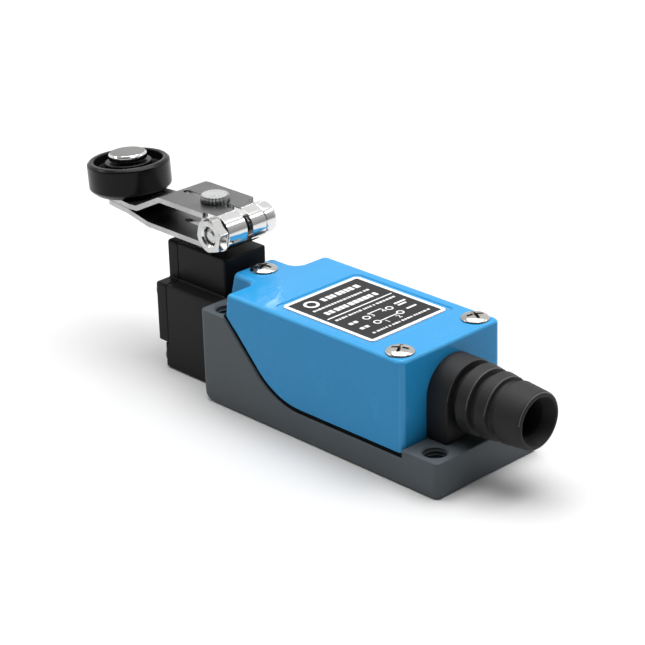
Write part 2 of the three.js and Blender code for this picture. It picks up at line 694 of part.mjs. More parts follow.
// Centre line of the folded strap: out from the tip along the lower layer, round the clamp
// bolt, and back along the upper layer, which is joggled down to the lower one at the pin.
function strapCentreLine() {
  const half = STRAP / 2;
  const slope = Math.tan(ROLLER_TILT);
  const tipX = PIN_X - 8;
  const lowerEnd = (x) => PIN_LIFT + half + slope * (x - PIN_X);
  const upperEnd = (x) => lowerEnd(x) + STRAP + 0.08;
  const line = new THREE.Path();
  line.moveTo(tipX, lowerEnd(tipX));
  line.lineTo(-21.4, lowerEnd(-21.4));
  line.quadraticCurveTo(-20.4, lowerEnd(-20.4), -19.4, lowerEnd(-20.4) - 0.21);
  line.lineTo(-14.6, half + 0.21);
  line.quadraticCurveTo(-13.6, half, -12.6, half);
  line.lineTo(CLAMP_X, half);
  line.absarc(CLAMP_X, half + CLAMP_R, CLAMP_R, -Math.PI / 2, Math.PI / 2);
  line.lineTo(-9, TOP_LAYER_Z);
  line.quadraticCurveTo(-10, TOP_LAYER_Z, -10.8, TOP_LAYER_Z - 0.42);
  line.lineTo(-16.6, upperEnd(-17.4) + 0.42);
  line.quadraticCurveTo(-17.4, upperEnd(-17.4), -18.4, upperEnd(-18.4));
  line.lineTo(tipX, upperEnd(tipX));
  return line;
}

// Outline of a strip of constant thickness about a centre line.
function stripOutline(line, thickness) {
  const points = line.getPoints(8);
  const left = [];
  const right = [];
  points.forEach((point, index) => {
    const before = points[Math.max(index - 1, 0)];
    const after = points[Math.min(index + 1, points.length - 1)];
    const along = after.clone().sub(before).normalize();
    const normal = new THREE.Vector2(-along.y, along.x).multiplyScalar(thickness / 2);
    left.push(point.clone().add(normal));
    right.push(point.clone().sub(normal));
  });
  return new THREE.Shape([...right, ...left.reverse()]);
}

function leverPlan() {
  const half = STRAP_HALF_WIDTH;
  const tipR = 5;
  const shape = new THREE.Shape();
  shape.moveTo(12, -5.8);
  shape.lineTo(12, 4.1);
  shape.lineTo(5.4, 4.1);
  shape.lineTo(4.4, 5.1);
  shape.lineTo(4.4, half);
  shape.lineTo(-8.2, half);
  shape.quadraticCurveTo(-10.8, half, -12.4, half - 1);
  shape.quadraticCurveTo(-13.6, tipR + 0.1, -15.4, tipR);
  shape.lineTo(PIN_X, tipR);
  shape.absarc(PIN_X, 0, tipR, Math.PI / 2, 1.5 * Math.PI - 0.18);
  shape.lineTo(-19.8, -half);
  shape.lineTo(3.6, -half);
  shape.lineTo(3.6, -5.8);
  return shape;
}

function makeLeverArm() {
  const strap = sidePrism(stripOutline(strapCentreLine(), STRAP), -8, 8)
    .intersect(planPrism(leverPlan(), -5, 15, 0, 8));
  const slitLow = -0.95;
  const slitHigh = 0.55;
  const slitStart = -8.3;
  const middle = (slitLow + slitHigh) / 2;
  const pinHole = rod('z', PIN_R + 0.1, -6, 6, 0, 0);
  return cut(
    strap,
    box(slitStart, 12, slitLow, slitHigh, -5, 15),
    rod('z', 1.05, -5, 15, slitStart, middle, SMALL),
    rod('z', SHAFT_R + 0.08, -5, 15, 0, 0, SMOOTH),
    pinHole.rotate([0, -THREE.MathUtils.radToDeg(ROLLER_TILT), 0])
      .translate([PIN_X, 0, PIN_LIFT]),
  );
}

function makeClampNut() {
  const hexagon = new THREE.Shape();
  const firstCorner = THREE.MathUtils.degToRad(16);
  for (let corner = 0; corner < 6; corner += 1) {
    const angle = firstCorner + (Math.PI / 3) * corner;
    const x = 3.7 * Math.cos(angle);
    const z = 3.7 * Math.sin(angle);
    if (corner === 0) hexagon.moveTo(x, z);
    else hexagon.lineTo(x, z);
  }
  return cut(sidePrism(hexagon, -8.2, -5.9), rod('y', 1.85, -10, -5));
}

function makeClampBolt() {
  const shank = rod('y', 1.75, -7.8, 4.4);
  const head = rod('y', 3.1, 4.2, 7.7, 0, 0, SMOOTH);
  const slot = box(-4, 4, 6.9, 8, -0.4, 0.4);
  return cut(join(shank, head), slot);
}

function makeRoller() {
  const low = ROLLER_BOTTOM;
  const high = ROLLER_BOTTOM + ROLLER_HEIGHT;
  const bore = PIN_R + 0.1;
  return turned([
    [bore, low], [7.2, low], [ROLLER_R, low + 1.1], [ROLLER_R, high - 0.5], [8.2, high],
    [7.35, high], [7.15, high - 2.2], [5.1, high - 2.2], [4.9, high - 0.35], [bore, high - 0.35],
    [bore, low],
  ], 'z', 40);
}

function makeRollerPin() {
  const headLow = ROLLER_BOTTOM + ROLLER_HEIGHT + 0.12;
  const headTop = 10.75;
  return turned([
    [0, -0.85], [2.3, -0.85], [2.8, -0.12], [PIN_R, -0.12], [PIN_R, headLow],
    [4.05, headLow], [4.05, headTop - 0.45], [3.7, headTop], [0, headTop],
  ], 'z');
}

// ---- Assembly -----------------------------------------------------------------------------

const group = new THREE.Group();
const body = new THREE.Group();
group.add(body);

node(body, 'base_housing', makeBase(), castGrey);
node(body, 'cover', makeCover(), coverBlue);
node(body, 'cover_gasket', makeGasket(), rubberBlack);
node(body, 'nameplate', makeNameplate(), plateBlack);
node(body, 'cable_gland', makeGland(), rubberBlack).position.set(0, 0, GLAND_Z);

const coverScrews = [
  { x: SCREW_X, y: -SCREW_Y, length: 22, turn: 0.35 },
  { x: SCREW_X, y: SCREW_Y, length: 22, turn: 0.9 },
  { x: HEAD_SCREW_X, y: 0, length: 11, turn: 0.2 },
];
coverScrews.forEach(({ x, y, length, turn }, index) => {
  const screw = node(
    body, `cover_screw_${index + 1}`, panScrew(SCREW_HEAD_R, 1.2, SCREW_R - 0.25, length, ROUND),
    platedSteel);
  screw.position.set(x, y, COVER_TOP + 0.05);
  screw.rotation.z = turn;
});

node(body, 'contact_block_case', makeBlockCase(), phenolic);
node(body, 'contact_block_lid', makeBlockLid(), phenolic);
node(body, 'switch_button', makeButton(), rubberBlack);
node(body, 'contact_bridge', makeBridge(), brass);
const buttonSpring = makeSpring(1.9, 0.25, BLOCK.x0 + 9.7, BLOCK.x1 - 4.2, 5);
node(body, 'button_spring', buttonSpring, springSteel).position.set(0, 0, PLUNGER_Z);
TERMINALS.forEach(({ y, shift, reach }, index) => {
  const strip = node(body, `terminal_${index + 1}`, makeTerminal(shift, reach), brass);
  strip.position.set(0, y, 0);
  const screw = node(
    body, `terminal_screw_${index + 1}`, panScrew(1.2, 1.1, 0.8, 3), platedSteel);
  screw.position.set(BLOCK.x1 - 1.5, y, BLOCK.z1);
});
[-7, 7].forEach((y, index) => {
  const screw = node(
    body, `block_screw_${index + 1}`, panScrew(1.9, 1.3, 1.05, 8), platedSteel);
  screw.position.set(BLOCK.x0 + 1.4, y, BLOCK.z1 + FIT_GAP + 1.6);
});

const head = new THREE.Group();
head.position.set(SHAFT_X, 0, 0);
group.add(head);

node(head, 'head_housing', makeHeadHousing(), headBlack);
node(head, 'head_end_plate', makeEndPlate(), headBlack);
node(head, 'head_seal', makeHeadSeal(), rubberBlack);
const headScrews = [
  { y: -1, z: 1, seat: END_PLATE_FAR },
  { y: 1, z: 1, seat: END_PLATE_FAR },
  { y: -1, z: -1, seat: HEAD_FAR - 1.3 },
  { y: 1, z: -1, seat: HEAD_FAR - 1.3 },
];
headScrews.forEach(({ y, z, seat }, index) => {
  const screw = node(
    head, `head_screw_${index + 1}`, panScrew(2, 1.3, 1.05, -29.6 - seat), platedSteel);
  screw.position.set(
    fromShaft(seat) - FIT_GAP, y * HEAD_SCREW_OFFSET, PLUNGER_Z + z * HEAD_SCREW_OFFSET);
  screw.rotation.y = -Math.PI / 2;
});
node(head, 'plunger', makePlunger(), brass);
const plungerSpring = makeSpring(2.75, 0.3, fromShaft(-34.9), fromShaft(-30.5), 4);
node(head, 'plunger_spring', plungerSpring, springSteel).position.set(0, 0, PLUNGER_Z);
node(head, 'shaft', makeShaft(), platedSteel);
node(head, 'cam', makeCam(), springSteel);
node(head, 'cam_pin', rod('y', 0.75, -4.4, 4.4, 0, PLUNGER_Z, SMALL), springSteel);
node(head, 'shaft_circlip', makeCirclip(), springSteel);
node(head, 'shaft_bush', makeBush(), brass);
node(head, 'shaft_seal_ring', makeSealRing(), rubberBlack);
node(head, 'seal_washer', makeSealWasher(), springSteel);

const lever = new THREE.Group();
lever.position.set(0, 0, LEVER_Z);
head.add(lever);

node(lever, 'lever_arm', makeLeverArm(), strapSteel);
const clampHeight = STRAP / 2 + CLAMP_R;
node(lever, 'clamp_nut', makeClampNut(), platedSteel).position.set(CLAMP_X, 0, clampHeight);
node(lever, 'clamp_bolt', makeClampBolt(), platedSteel).position.set(CLAMP_X, 0, clampHeight);

const rollerGroup = new THREE.Group();
rollerGroup.position.set(PIN_X, 0, PIN_LIFT);
rollerGroup.rotation.y = -ROLLER_TILT;
lever.add(rollerGroup);

node(rollerGroup, 'roller', makeRoller(), rollerBlack);
node(rollerGroup, 'roller_pin', makeRollerPin(), springSteel);

export default group;
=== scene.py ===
import math
import random

import bmesh
import bpy
from mathutils import Matrix, Vector


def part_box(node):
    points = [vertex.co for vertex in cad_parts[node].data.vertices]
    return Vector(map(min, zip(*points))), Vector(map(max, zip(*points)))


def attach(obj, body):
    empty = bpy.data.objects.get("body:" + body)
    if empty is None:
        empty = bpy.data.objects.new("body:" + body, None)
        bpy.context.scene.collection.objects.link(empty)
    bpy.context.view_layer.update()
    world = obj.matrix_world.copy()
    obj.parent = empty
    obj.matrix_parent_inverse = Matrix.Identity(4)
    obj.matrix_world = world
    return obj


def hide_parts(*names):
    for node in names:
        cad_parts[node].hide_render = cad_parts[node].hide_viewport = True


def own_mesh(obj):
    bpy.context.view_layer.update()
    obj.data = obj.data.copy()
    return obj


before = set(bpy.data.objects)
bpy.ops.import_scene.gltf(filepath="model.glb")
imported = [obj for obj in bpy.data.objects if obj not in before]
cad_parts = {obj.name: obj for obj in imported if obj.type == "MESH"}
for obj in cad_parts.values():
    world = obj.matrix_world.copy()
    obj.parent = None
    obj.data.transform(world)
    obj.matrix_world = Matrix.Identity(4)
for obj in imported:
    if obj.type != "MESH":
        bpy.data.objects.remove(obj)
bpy.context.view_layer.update()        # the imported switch; every piece below is fitted to it
scene = bpy.context.scene
mm = 0.001               # meshes are shaped in millimetres and scaled once at the end


# Shared node tools: a wire is a socket that can be used in sums
class Wire:
    def __init__(self, graph, socket):
        self.graph = graph
        self.socket = socket

    def math(self, operation, other=None, swapped=False):
        values = [self] if other is None else [self, other]
        if swapped:
            values.reverse()
        return self.graph.node("ShaderNodeMath", {"operation": operation}, dict(enumerate(values)))

    def __add__(self, other):
        return self.math("ADD", other)

    def __sub__(self, other):
        return self.math("SUBTRACT", other)

    def __rsub__(self, other):
        return self.math("SUBTRACT", other, True)

    def __mul__(self, other):
        return self.math("MULTIPLY", other)

    def __truediv__(self, other):
        return self.math("DIVIDE", other)

    def __gt__(self, other):
        return self.math("GREATER_THAN", other)

    def __lt__(self, other):
        return self.math("LESS_THAN", other)

    __radd__ = __add__
    __rmul__ = __mul__


class Graph:
    def __init__(self, tree):
        self.tree = tree

    def node(self, kind, settings=None, inputs=None, output=0):
        made = self.tree.nodes.new(kind)
        for key, value in (settings or {}).items():
            if key == "stops":
                ramp = made.color_ramp
                while len(ramp.elements) < len(value):
                    ramp.elements.new(0.5)
                for element, (position, shade) in zip(ramp.elements, value):
                    element.position = position
                    element.color = (shade, shade, shade, 1)
            else:
                setattr(made, key, value)
        for key, value in (inputs or {}).items():
            if isinstance(value, Wire):
                self.tree.links.new(value.socket, made.inputs[key])
            else:
                made.inputs[key].default_value = value
        return Wire(self, made.outputs[output]) if made.outputs else None


# Finishes
def newFinish(name, color, roughness, metallic=0.0, coat=0.0, coatRoughness=0.1, specular=0.5):
    finish = bpy.data.materials.new(name)
    finish.use_nodes = True
    shader = next(n for n in finish.node_tree.nodes if n.type == "BSDF_PRINCIPLED")
    shader.inputs["Base Color"].default_value = (*color, 1)
    shader.inputs["Roughness"].default_value = roughness
    shader.inputs["Metallic"].default_value = metallic
    shader.inputs["Coat Weight"].default_value = coat
    shader.inputs["Coat Roughness"].default_value = coatRoughness
    shader.inputs["Specular IOR Level"].default_value = specular
    graph = Graph(finish.node_tree)
    place = graph.node("ShaderNodeTexCoord", output="Object")
    return finish, graph, shader, place


def noise(graph, place, size, detail=3.0, roughness=0.55, stretch=None):
    if stretch:
        place = graph.node("ShaderNodeMapping", None, {"Vector": place, "Scale": stretch})
    return graph.node(
        "ShaderNodeTexNoise", None,
        {"Vector": place, "Scale": 1 / (size * mm), "Detail": detail, "Roughness": roughness})


def shades(graph, wire, low, high):
    return graph.node(
        "ShaderNodeMapRange", None,
        {"Value": wire, "From Min": low, "From Max": high, "To Min": 0.0, "To Max": 1.0})


def blendColors(graph, factor, first, second):
    made = graph.tree.nodes.new("ShaderNodeMix")
    made.data_type = "RGBA"
    graph.tree.links.new(factor.socket, made.inputs["Factor"])
    for key, value in ((6, first), (7, second)):
        if isinstance(value, Wire):
            graph.tree.links.new(value.socket, made.inputs[key])
        else:
            made.inputs[key].default_value = (*value, 1)
    return Wire(graph, made.outputs[2])


def feed(graph, shader, **wires):
    for key, wire in wires.items():
        graph.tree.links.new(wire.socket, shader.inputs[key])


def bump(graph, shader, height, strength, depth):
    relief = graph.node(
        "ShaderNodeBump", None,
        {"Height": height, "Strength": strength, "Distance": depth * mm})
    feed(graph, shader, Normal=relief)


def tinted(color, amount):
    return tuple(max(0.0, channel * amount) for channel in color)


# Moulded or painted surface: soft mottling, a fine grain and a few scuffs
def mouldedFinish(name, color, roughness, grain=0.25, grainDepth=0.01, mottle=0.06, scuff=0.0,
                  coat=0.0, specular=0.5):
    finish, graph, shader, place = newFinish(name, color, roughness, 0.0, coat, 0.05, specular)
    cloud = shades(graph, noise(graph, place, 9, 4), 0.3, 0.7)
    speck = shades(graph, noise(graph, place, 0.7, 2), 0.66, 0.74)
    base = blendColors(graph, cloud, tinted(color, 1 - mottle), tinted(color, 1 + mottle))
    if scuff:
        worn = speck * shades(graph, noise(graph, place, 4, 2), 0.5, 0.62)
        base = blendColors(graph, worn * scuff, base, tinted(color, 1.9))
    feed(graph, shader, **{"Base Color": base})
    feed(graph, shader, Roughness=roughness + (cloud - 0.5) * 0.10 + speck * 0.06)
    bump(graph, shader, noise(graph, place, grain, 3) + noise(graph, place, 6, 2) * 2, 1.0, grainDepth)
    return finish


# Metal: fine streaks along one direction over a soft stain
def metalFinish(name, color, roughness, stretch=(1, 1, 1), streak=0.35, spread=0.08, depth=0.004,
                stain=0.08):
    finish, graph, shader, place = newFinish(name, color, roughness, 1.0)
    lines = shades(graph, noise(graph, place, streak, 4, 0.6, stretch), 0.25, 0.75)
    cloud = shades(graph, noise(graph, place, 5, 3), 0.3, 0.7)
    base = blendColors(graph, cloud, tinted(color, 1 - stain), tinted(color, 1 + stain))
    feed(graph, shader, **{"Base Color": base})
    feed(graph, shader, Roughness=roughness + (lines - 0.5) * spread + (cloud - 0.5) * spread * 0.5)
    bump(graph, shader, lines, 1.0, depth)
    return finish


looks = {
    "coverBlue": mouldedFinish(
        "coverBlue", (0.022, 0.268, 0.57), 0.24, 0.5, 0.0005, 0.02, 0.0, 0.2, 0.1),
    # A lighter copy of the cover blue: painted highlight for the rounded edges
    "coverEdgeHighlight": mouldedFinish(
        "coverEdgeHighlight", (0.05, 0.345, 0.68), 0.24, 0.5, 0.0005, 0.02, 0.0, 0.2, 0.1),
    "castGrey": mouldedFinish(
        "castGrey", (0.078, 0.092, 0.102), 0.46, 0.16, 0.005, 0.05, 0.3, 0.0, 0.22),
    "headBlack": mouldedFinish(
        "headBlack", (0.010, 0.010, 0.0106), 0.36, 0.2, 0.004, 0.08, 0.5, 0.0, 0.1),
    "bootRubber": mouldedFinish(
        "bootRubber", (0.016, 0.016, 0.0165), 0.58, 0.14, 0.012, 0.14, 0.4, 0.0, 0.25),
    # A lighter copy of the boot rubber: painted highlight on the lips
    "bootLipHighlight": mouldedFinish(
        "bootLipHighlight", (0.09, 0.09, 0.088), 0.5, 0.14, 0.006, 0.3, 0.4, 0.0, 0.3),
    "sealRubber": mouldedFinish(
        "sealRubber", (0.004, 0.004, 0.004), 0.7, 0.2, 0.004, 0.1, 0.0, 0.0, 0.05),
    "rollerBlack": mouldedFinish(
        "rollerBlack", (0.004, 0.004, 0.0043), 0.26, 0.4, 0.0012, 0.08, 0.0, 0.0, 0.18),
    "labelBlack": mouldedFinish(
        "labelBlack", (0.008, 0.008, 0.009), 0.35, 0.3, 0.001, 0.05, 0.0, 0.0, 0.15),
    "labelWhite": mouldedFinish("labelWhite", (0.76, 0.76, 0.76), 0.4, 0.3, 0.001, 0.02),
    "phenolic": mouldedFinish("phenolic", (0.045, 0.022, 0.015), 0.55, 0.3, 0.006, 0.12),
    "buttonRed": mouldedFinish("buttonRed", (0.45, 0.03, 0.02), 0.45, 0.3, 0.004, 0.05),
    "chrome": metalFinish("chrome", (0.74, 0.74, 0.735), 0.1, (1, 1, 1), 0.9, 0.04, 0.001, 0.03),
    "plated": metalFinish("plated", (0.46, 0.45, 0.43), 0.2, (1, 1, 1), 0.4, 0.12, 0.003, 0.2),
    # A darker copy of the plating: painted shade inside the cross recess
    "platedPaintedShade": metalFinish("platedPaintedShade", (0.12, 0.11, 0.1), 0.4, (1, 1, 1), 0.4, 0.12, 0.003, 0.2),
    "strap": metalFinish("strap", (0.165, 0.165, 0.17), 0.34, (0.12, 1, 1), 0.16, 0.16, 0.003, 0.12),
    # A lighter copy of the strap steel: painted highlight for its edges
    "strapEdgeHighlight": metalFinish(
        "strapEdgeHighlight", (0.42, 0.42, 0.425), 0.28, (0.3, 1, 1), 0.2, 0.12, 0.003, 0.18),
    "pinFace": metalFinish("pinFace", (0.24, 0.235, 0.23), 0.34, (1, 1, 1), 0.12, 0.12, 0.003, 0.08),
    "shaftTop": metalFinish("shaftTop", (0.58, 0.59, 0.58), 0.3, (1, 1, 1), 0.2, 0.14, 0.004, 0.1),
    "brass": metalFinish("brass", (0.60, 0.42, 0.16), 0.28, (1, 1, 1), 0.2, 0.1, 0.003, 0.1),
    "springSteel": metalFinish("springSteel", (0.42, 0.42, 0.40), 0.3, (1, 1, 1), 0.2, 0.1, 0.002, 0.08),
}
print("finishes", len(looks))


# Shaping tools, all in millimetres
def boxMm(node):
    low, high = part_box(node)
    return low / mm, high / mm


def newPiece(name, bm):
    mesh = bpy.data.meshes.new(name)
    bm.to_mesh(mesh)
    bm.free()
    piece = bpy.data.objects.new(name, mesh)
    scene.collection.objects.link(piece)
    return piece


# Corners are (x, y, radius) or (x, y, radius, cuts in the straight run that follows)
def outline(corners, steps=6, closed=True):
    points = []
    count = len(corners)
    for index, corner in enumerate(corners):
        here, radius = Vector(corner[:2]), corner[2]
        start = len(points)
        if radius <= 0 or (not closed and index in (0, count - 1)):
            points.append(here)
        else:
            back = (Vector(corners[index - 1][:2]) - here).normalized()
            on = (Vector(corners[(index + 1) % count][:2]) - here).normalized()
            half = back.angle(on) / 2
            centre = here + (back + on).normalized() * (radius / math.sin(half))
            spoke = here + back * (radius / math.tan(half)) - centre
            last = here + on * (radius / math.tan(half)) - centre
            sweep = math.atan2(spoke.x * last.y - spoke.y * last.x, spoke.dot(last))
            for step in range(steps + 1):
                points.append(centre + Matrix.Rotation(sweep * step / steps, 2) @ spoke)
        if index and len(corners[index - 1]) > 3:
            points[start:start] = between(points[start - 1], points[start], corners[index - 1][3])
    if closed and len(corners[-1]) > 3:
        points += between(points[-1], points[0], corners[-1][3])
    return [tuple(point) for point in points]


def between(first, second, cuts):
    return [first.lerp(second, step / (cuts + 1)) for step in range(1, cuts + 1)]


def skin(name, loops, closeStart=True, closeEnd=True):
    bm = bmesh.new()
    rows = [[bm.verts.new(point) for point in loop] for loop in loops]
    count = len(rows[0])
    for row, following in zip(rows, rows[1:]):
        for here in range(count):
            on = (here + 1) % count
            bm.faces.new((row[here], row[on], following[on], following[here]))
    if closeStart:
        bm.faces.new(rows[0][::-1])
    if closeEnd:
        bm.faces.new(rows[-1])
    bmesh.ops.remove_doubles(bm, verts=bm.verts, dist=0.002)
    bmesh.ops.dissolve_degenerate(bm, dist=0.0005, edges=bm.edges)
    bmesh.ops.recalc_face_normals(bm, faces=bm.faces)
    return newPiece(name, bm)


# An outline pushed along an axis: (x, y) for z, (x, z) for y and (y, z) for x
def prism(name, points, low, high, axis="z"):
    order = {"x": lambda u, v, w: (w, u, v), "y": lambda u, v, w: (u, w, v),
             "z": lambda u, v, w: (u, v, w)}[axis]
    return skin(name, [[order(u, v, w) for u, v in points] for w in (low, high)])


def lathe(name, profile, sides=96, turn=None):
    angles = [2 * math.pi * step / sides for step in range(sides)]
    loops = [[(r * math.cos(a), r * math.sin(a), h) for a in angles] for r, h in profile]
    piece = skin(name, loops, False, False)
    if turn:
        piece.data.transform(turn)
    return piece


def rod(radius, low, high, centre=(0, 0), axis="z", sides=48):
    turns = [2 * math.pi * step / sides for step in range(sides)]
    ring = [(centre[0] + radius * math.cos(a), centre[1] + radius * math.sin(a)) for a in turns]
    return prism("rod", ring, low, high, axis)


def settle(piece):
    graph = bpy.context.evaluated_depsgraph_get()
    mesh = bpy.data.meshes.new_from_object(piece.evaluated_get(graph))
    piece.modifiers.clear()
    piece.data = mesh
    return piece


def carve(piece, tool, operation="DIFFERENCE"):
    change = piece.modifiers.new("change", "BOOLEAN")
    change.object = tool
    change.operation = operation
    change.solver = "EXACT"
    settle(piece)
    bpy.data.objects.remove(tool)
    return piece


def roundEdges(piece, width, segments=3, angle=40, wanted=None, part=-1):
    bm = bmesh.new()
    bm.from_mesh(piece.data)
    bmesh.ops.remove_doubles(bm, verts=bm.verts, dist=0.002)
    bmesh.ops.dissolve_limit(
        bm, angle_limit=math.radians(0.3), verts=bm.verts, edges=bm.edges, delimit={"MATERIAL"})
    limit = math.radians(angle)
    edges = [
        e for e in bm.edges
        if len(e.link_faces) == 2 and e.calc_face_angle(0) > limit
        and (wanted is None or wanted((e.verts[0].co + e.verts[1].co) / 2))]
    bmesh.ops.bevel(
        bm, geom=edges, offset=width, offset_type="OFFSET", segments=segments, profile=0.5,
        affect="EDGES", clamp_overlap=True, material=part)
    bm.to_mesh(piece.data)
    bm.free()
    return piece


# Faces that pass the test take the second finish of the piece
def pickFaces(piece, test):
    for polygon in piece.data.polygons:
        polygon.material_index = int(test(polygon.center, polygon.normal))


def place(piece, body, slot, look, *nodes, angle=38):
    mesh = piece.data
    mesh.transform(Matrix.Scale(mm, 4))
    names = look if isinstance(look, tuple) else (look,)
    parts = [polygon.material_index for polygon in mesh.polygons]
    mesh.materials.clear()
    for name in names:
        mesh.materials.append(looks[name])
    for polygon, part in zip(mesh.polygons, parts):
        polygon.material_index = min(part, len(names) - 1)
        polygon.use_smooth = True
    mesh.set_sharp_from_angle(angle=math.radians(angle))
    weigh = piece.modifiers.new("weigh", "WEIGHTED_NORMAL")
    weigh.keep_sharp = True
    settle(piece)
    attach(piece, body)
    if nodes:
        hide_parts(*nodes)
    return piece


# Geometry Nodes tools
def newTree(name, inputs):
    tree = bpy.data.node_groups.new(name, "GeometryNodeTree")
    tree.interface.new_socket("Geometry", in_out="INPUT", socket_type="NodeSocketGeometry")
    ids = {}
    for label, kind, value in inputs:
        socket = tree.interface.new_socket(label, in_out="INPUT", socket_type=kind)
        if value is not None:
            socket.default_value = value
        ids[label] = socket.identifier
    tree.interface.new_socket("Geometry", in_out="OUTPUT", socket_type="NodeSocketGeometry")
    entry = tree.nodes.new("NodeGroupInput")
    graph = Graph(tree)
    given = {s.name: Wire(graph, s) for s in entry.outputs if s.name}
    return tree, graph, given, ids


def closeTree(graph, geometry, look):
    real = graph.node("GeometryNodeRealizeInstances", None, {"Geometry": geometry})
    dressed = graph.node("GeometryNodeSetMaterial", None, {"Geometry": real, "Material": look})
    graph.node("NodeGroupOutput", None, {"Geometry": dressed})


def grow(piece, tree, ids, **values):
    modifier = piece.modifiers.new(tree.name, "NODES")
    modifier.node_group = tree
    for label, value in values.items():
        modifier[ids[label]] = value
    return settle(piece)


# Copies of one object on points that carry their own turn and size
def makeCopyTree():
    tree, graph, given, ids = newTree("copiesOnPoints", [
        ("Copy", "NodeSocketObject", None), ("Finish", "NodeSocketMaterial", None)])
    copy = graph.node("GeometryNodeObjectInfo", None, {"Object": given["Copy"], "As Instance": True},
                      "Geometry")
    turn = graph.node(
        "GeometryNodeInputNamedAttribute", {"data_type": "FLOAT_VECTOR"}, {"Name": "turn"})
    size = graph.node(
        "GeometryNodeInputNamedAttribute", {"data_type": "FLOAT_VECTOR"}, {"Name": "size"})
    aim = graph.node("FunctionNodeEulerToRotation", None, {"Euler": turn})
    copies = graph.node(
        "GeometryNodeInstanceOnPoints", None,
        {"Points": given["Geometry"], "Instance": copy, "Rotation": aim, "Scale": size})
    closeTree(graph, copies, given["Finish"])
    return tree, ids


copyTree, copyIds = makeCopyTree()


def scatter(name, copy, look, spots):
    mesh = bpy.data.meshes.new(name)
    mesh.from_pydata([spot[0] for spot in spots], [], [])
    turns = mesh.attributes.new("turn", "FLOAT_VECTOR", "POINT")
    sizes = mesh.attributes.new("size", "FLOAT_VECTOR", "POINT")
    for index, (_, turn, size) in enumerate(spots):
        turns.data[index].vector = turn
        sizes.data[index].vector = size
    piece = bpy.data.objects.new(name, mesh)
    scene.collection.objects.link(piece)
    grow(piece, copyTree, copyIds, Copy=copy, Finish=looks[look])
    bpy.data.objects.remove(copy)
    return piece


# Seam line shared by cover and base
seam = {"low": 6.05, "high": 20.0, "highX": -24.6, "arc": 16.0, "slope": math.radians(46)}


def seamHeight(x, drop=0.0):
    cornerX = seam["highX"] + (seam["high"] - seam["low"]) / math.tan(seam["slope"])
    centreX = cornerX + seam["arc"] * math.tan(seam["slope"] / 2)
    centreZ = seam["low"] + seam["arc"]
    radius = seam["arc"] + drop
    endX = centreX - radius * math.sin(seam["slope"])
    if x >= centreX:
        return centreZ - radius
    if x >= endX:
        return centreZ - math.sqrt(radius ** 2 - (x - centreX) ** 2)
    return centreZ - radius * math.cos(seam["slope"]) + (endX - x) * math.tan(seam["slope"])


# Cover
coverShape = {
    "edge": 0.85, "corner": 1.25, "sharp": 0.6, "far": 1.4, "root": 2.4, "wall": 1.8, "draft": 0.008,
    "slant": 0.14, "rim": 0.2, "tongueHalf": 5.45, "shoulder": -24.3, "tongue": -31.4,
    "screwR": 1.7}


def coverLoop(inset, height):
    high = boxMm("cover")[1]
    s = coverShape
    end, half, shoulder = high.x - inset, high.y - inset, s["shoulder"] + inset
    tongue, tongueHalf = s["tongue"] + inset, s["tongueHalf"] - inset
    corner, root = max(s["corner"] - inset, 0.02), s["root"] + inset
    sharp, far = max(s["sharp"] - inset, 0.02), max(s["far"] - inset, 0.02)
    plan = outline([
        (end, -half, corner, 14), (end, half, corner, 90), (shoulder, half, far, 3),
        (shoulder, tongueHalf, root, 4), (tongue, tongueHalf, corner, 8),
        (tongue, -tongueHalf, corner, 4), (shoulder, -tongueHalf, root, 3),
        (shoulder, -half, sharp, 90)], 7)
    loop = []
    for x, y in plan:
        z = height(x)
        down = high.z - z
        onShoulder = min(1.0, max(0.0, (s["shoulder"] + 2.3 - x) / 2.3))
        onTongue = min(1.0, max(0.0, (s["shoulder"] - x) / 2.4))
        out = s["draft"] * min(down, 12) * (1 - onTongue) + s["slant"] * down * onTongue
        loop.append((x - s["slant"] * down * onShoulder, y + math.copysign(out, y), z))
    return loop


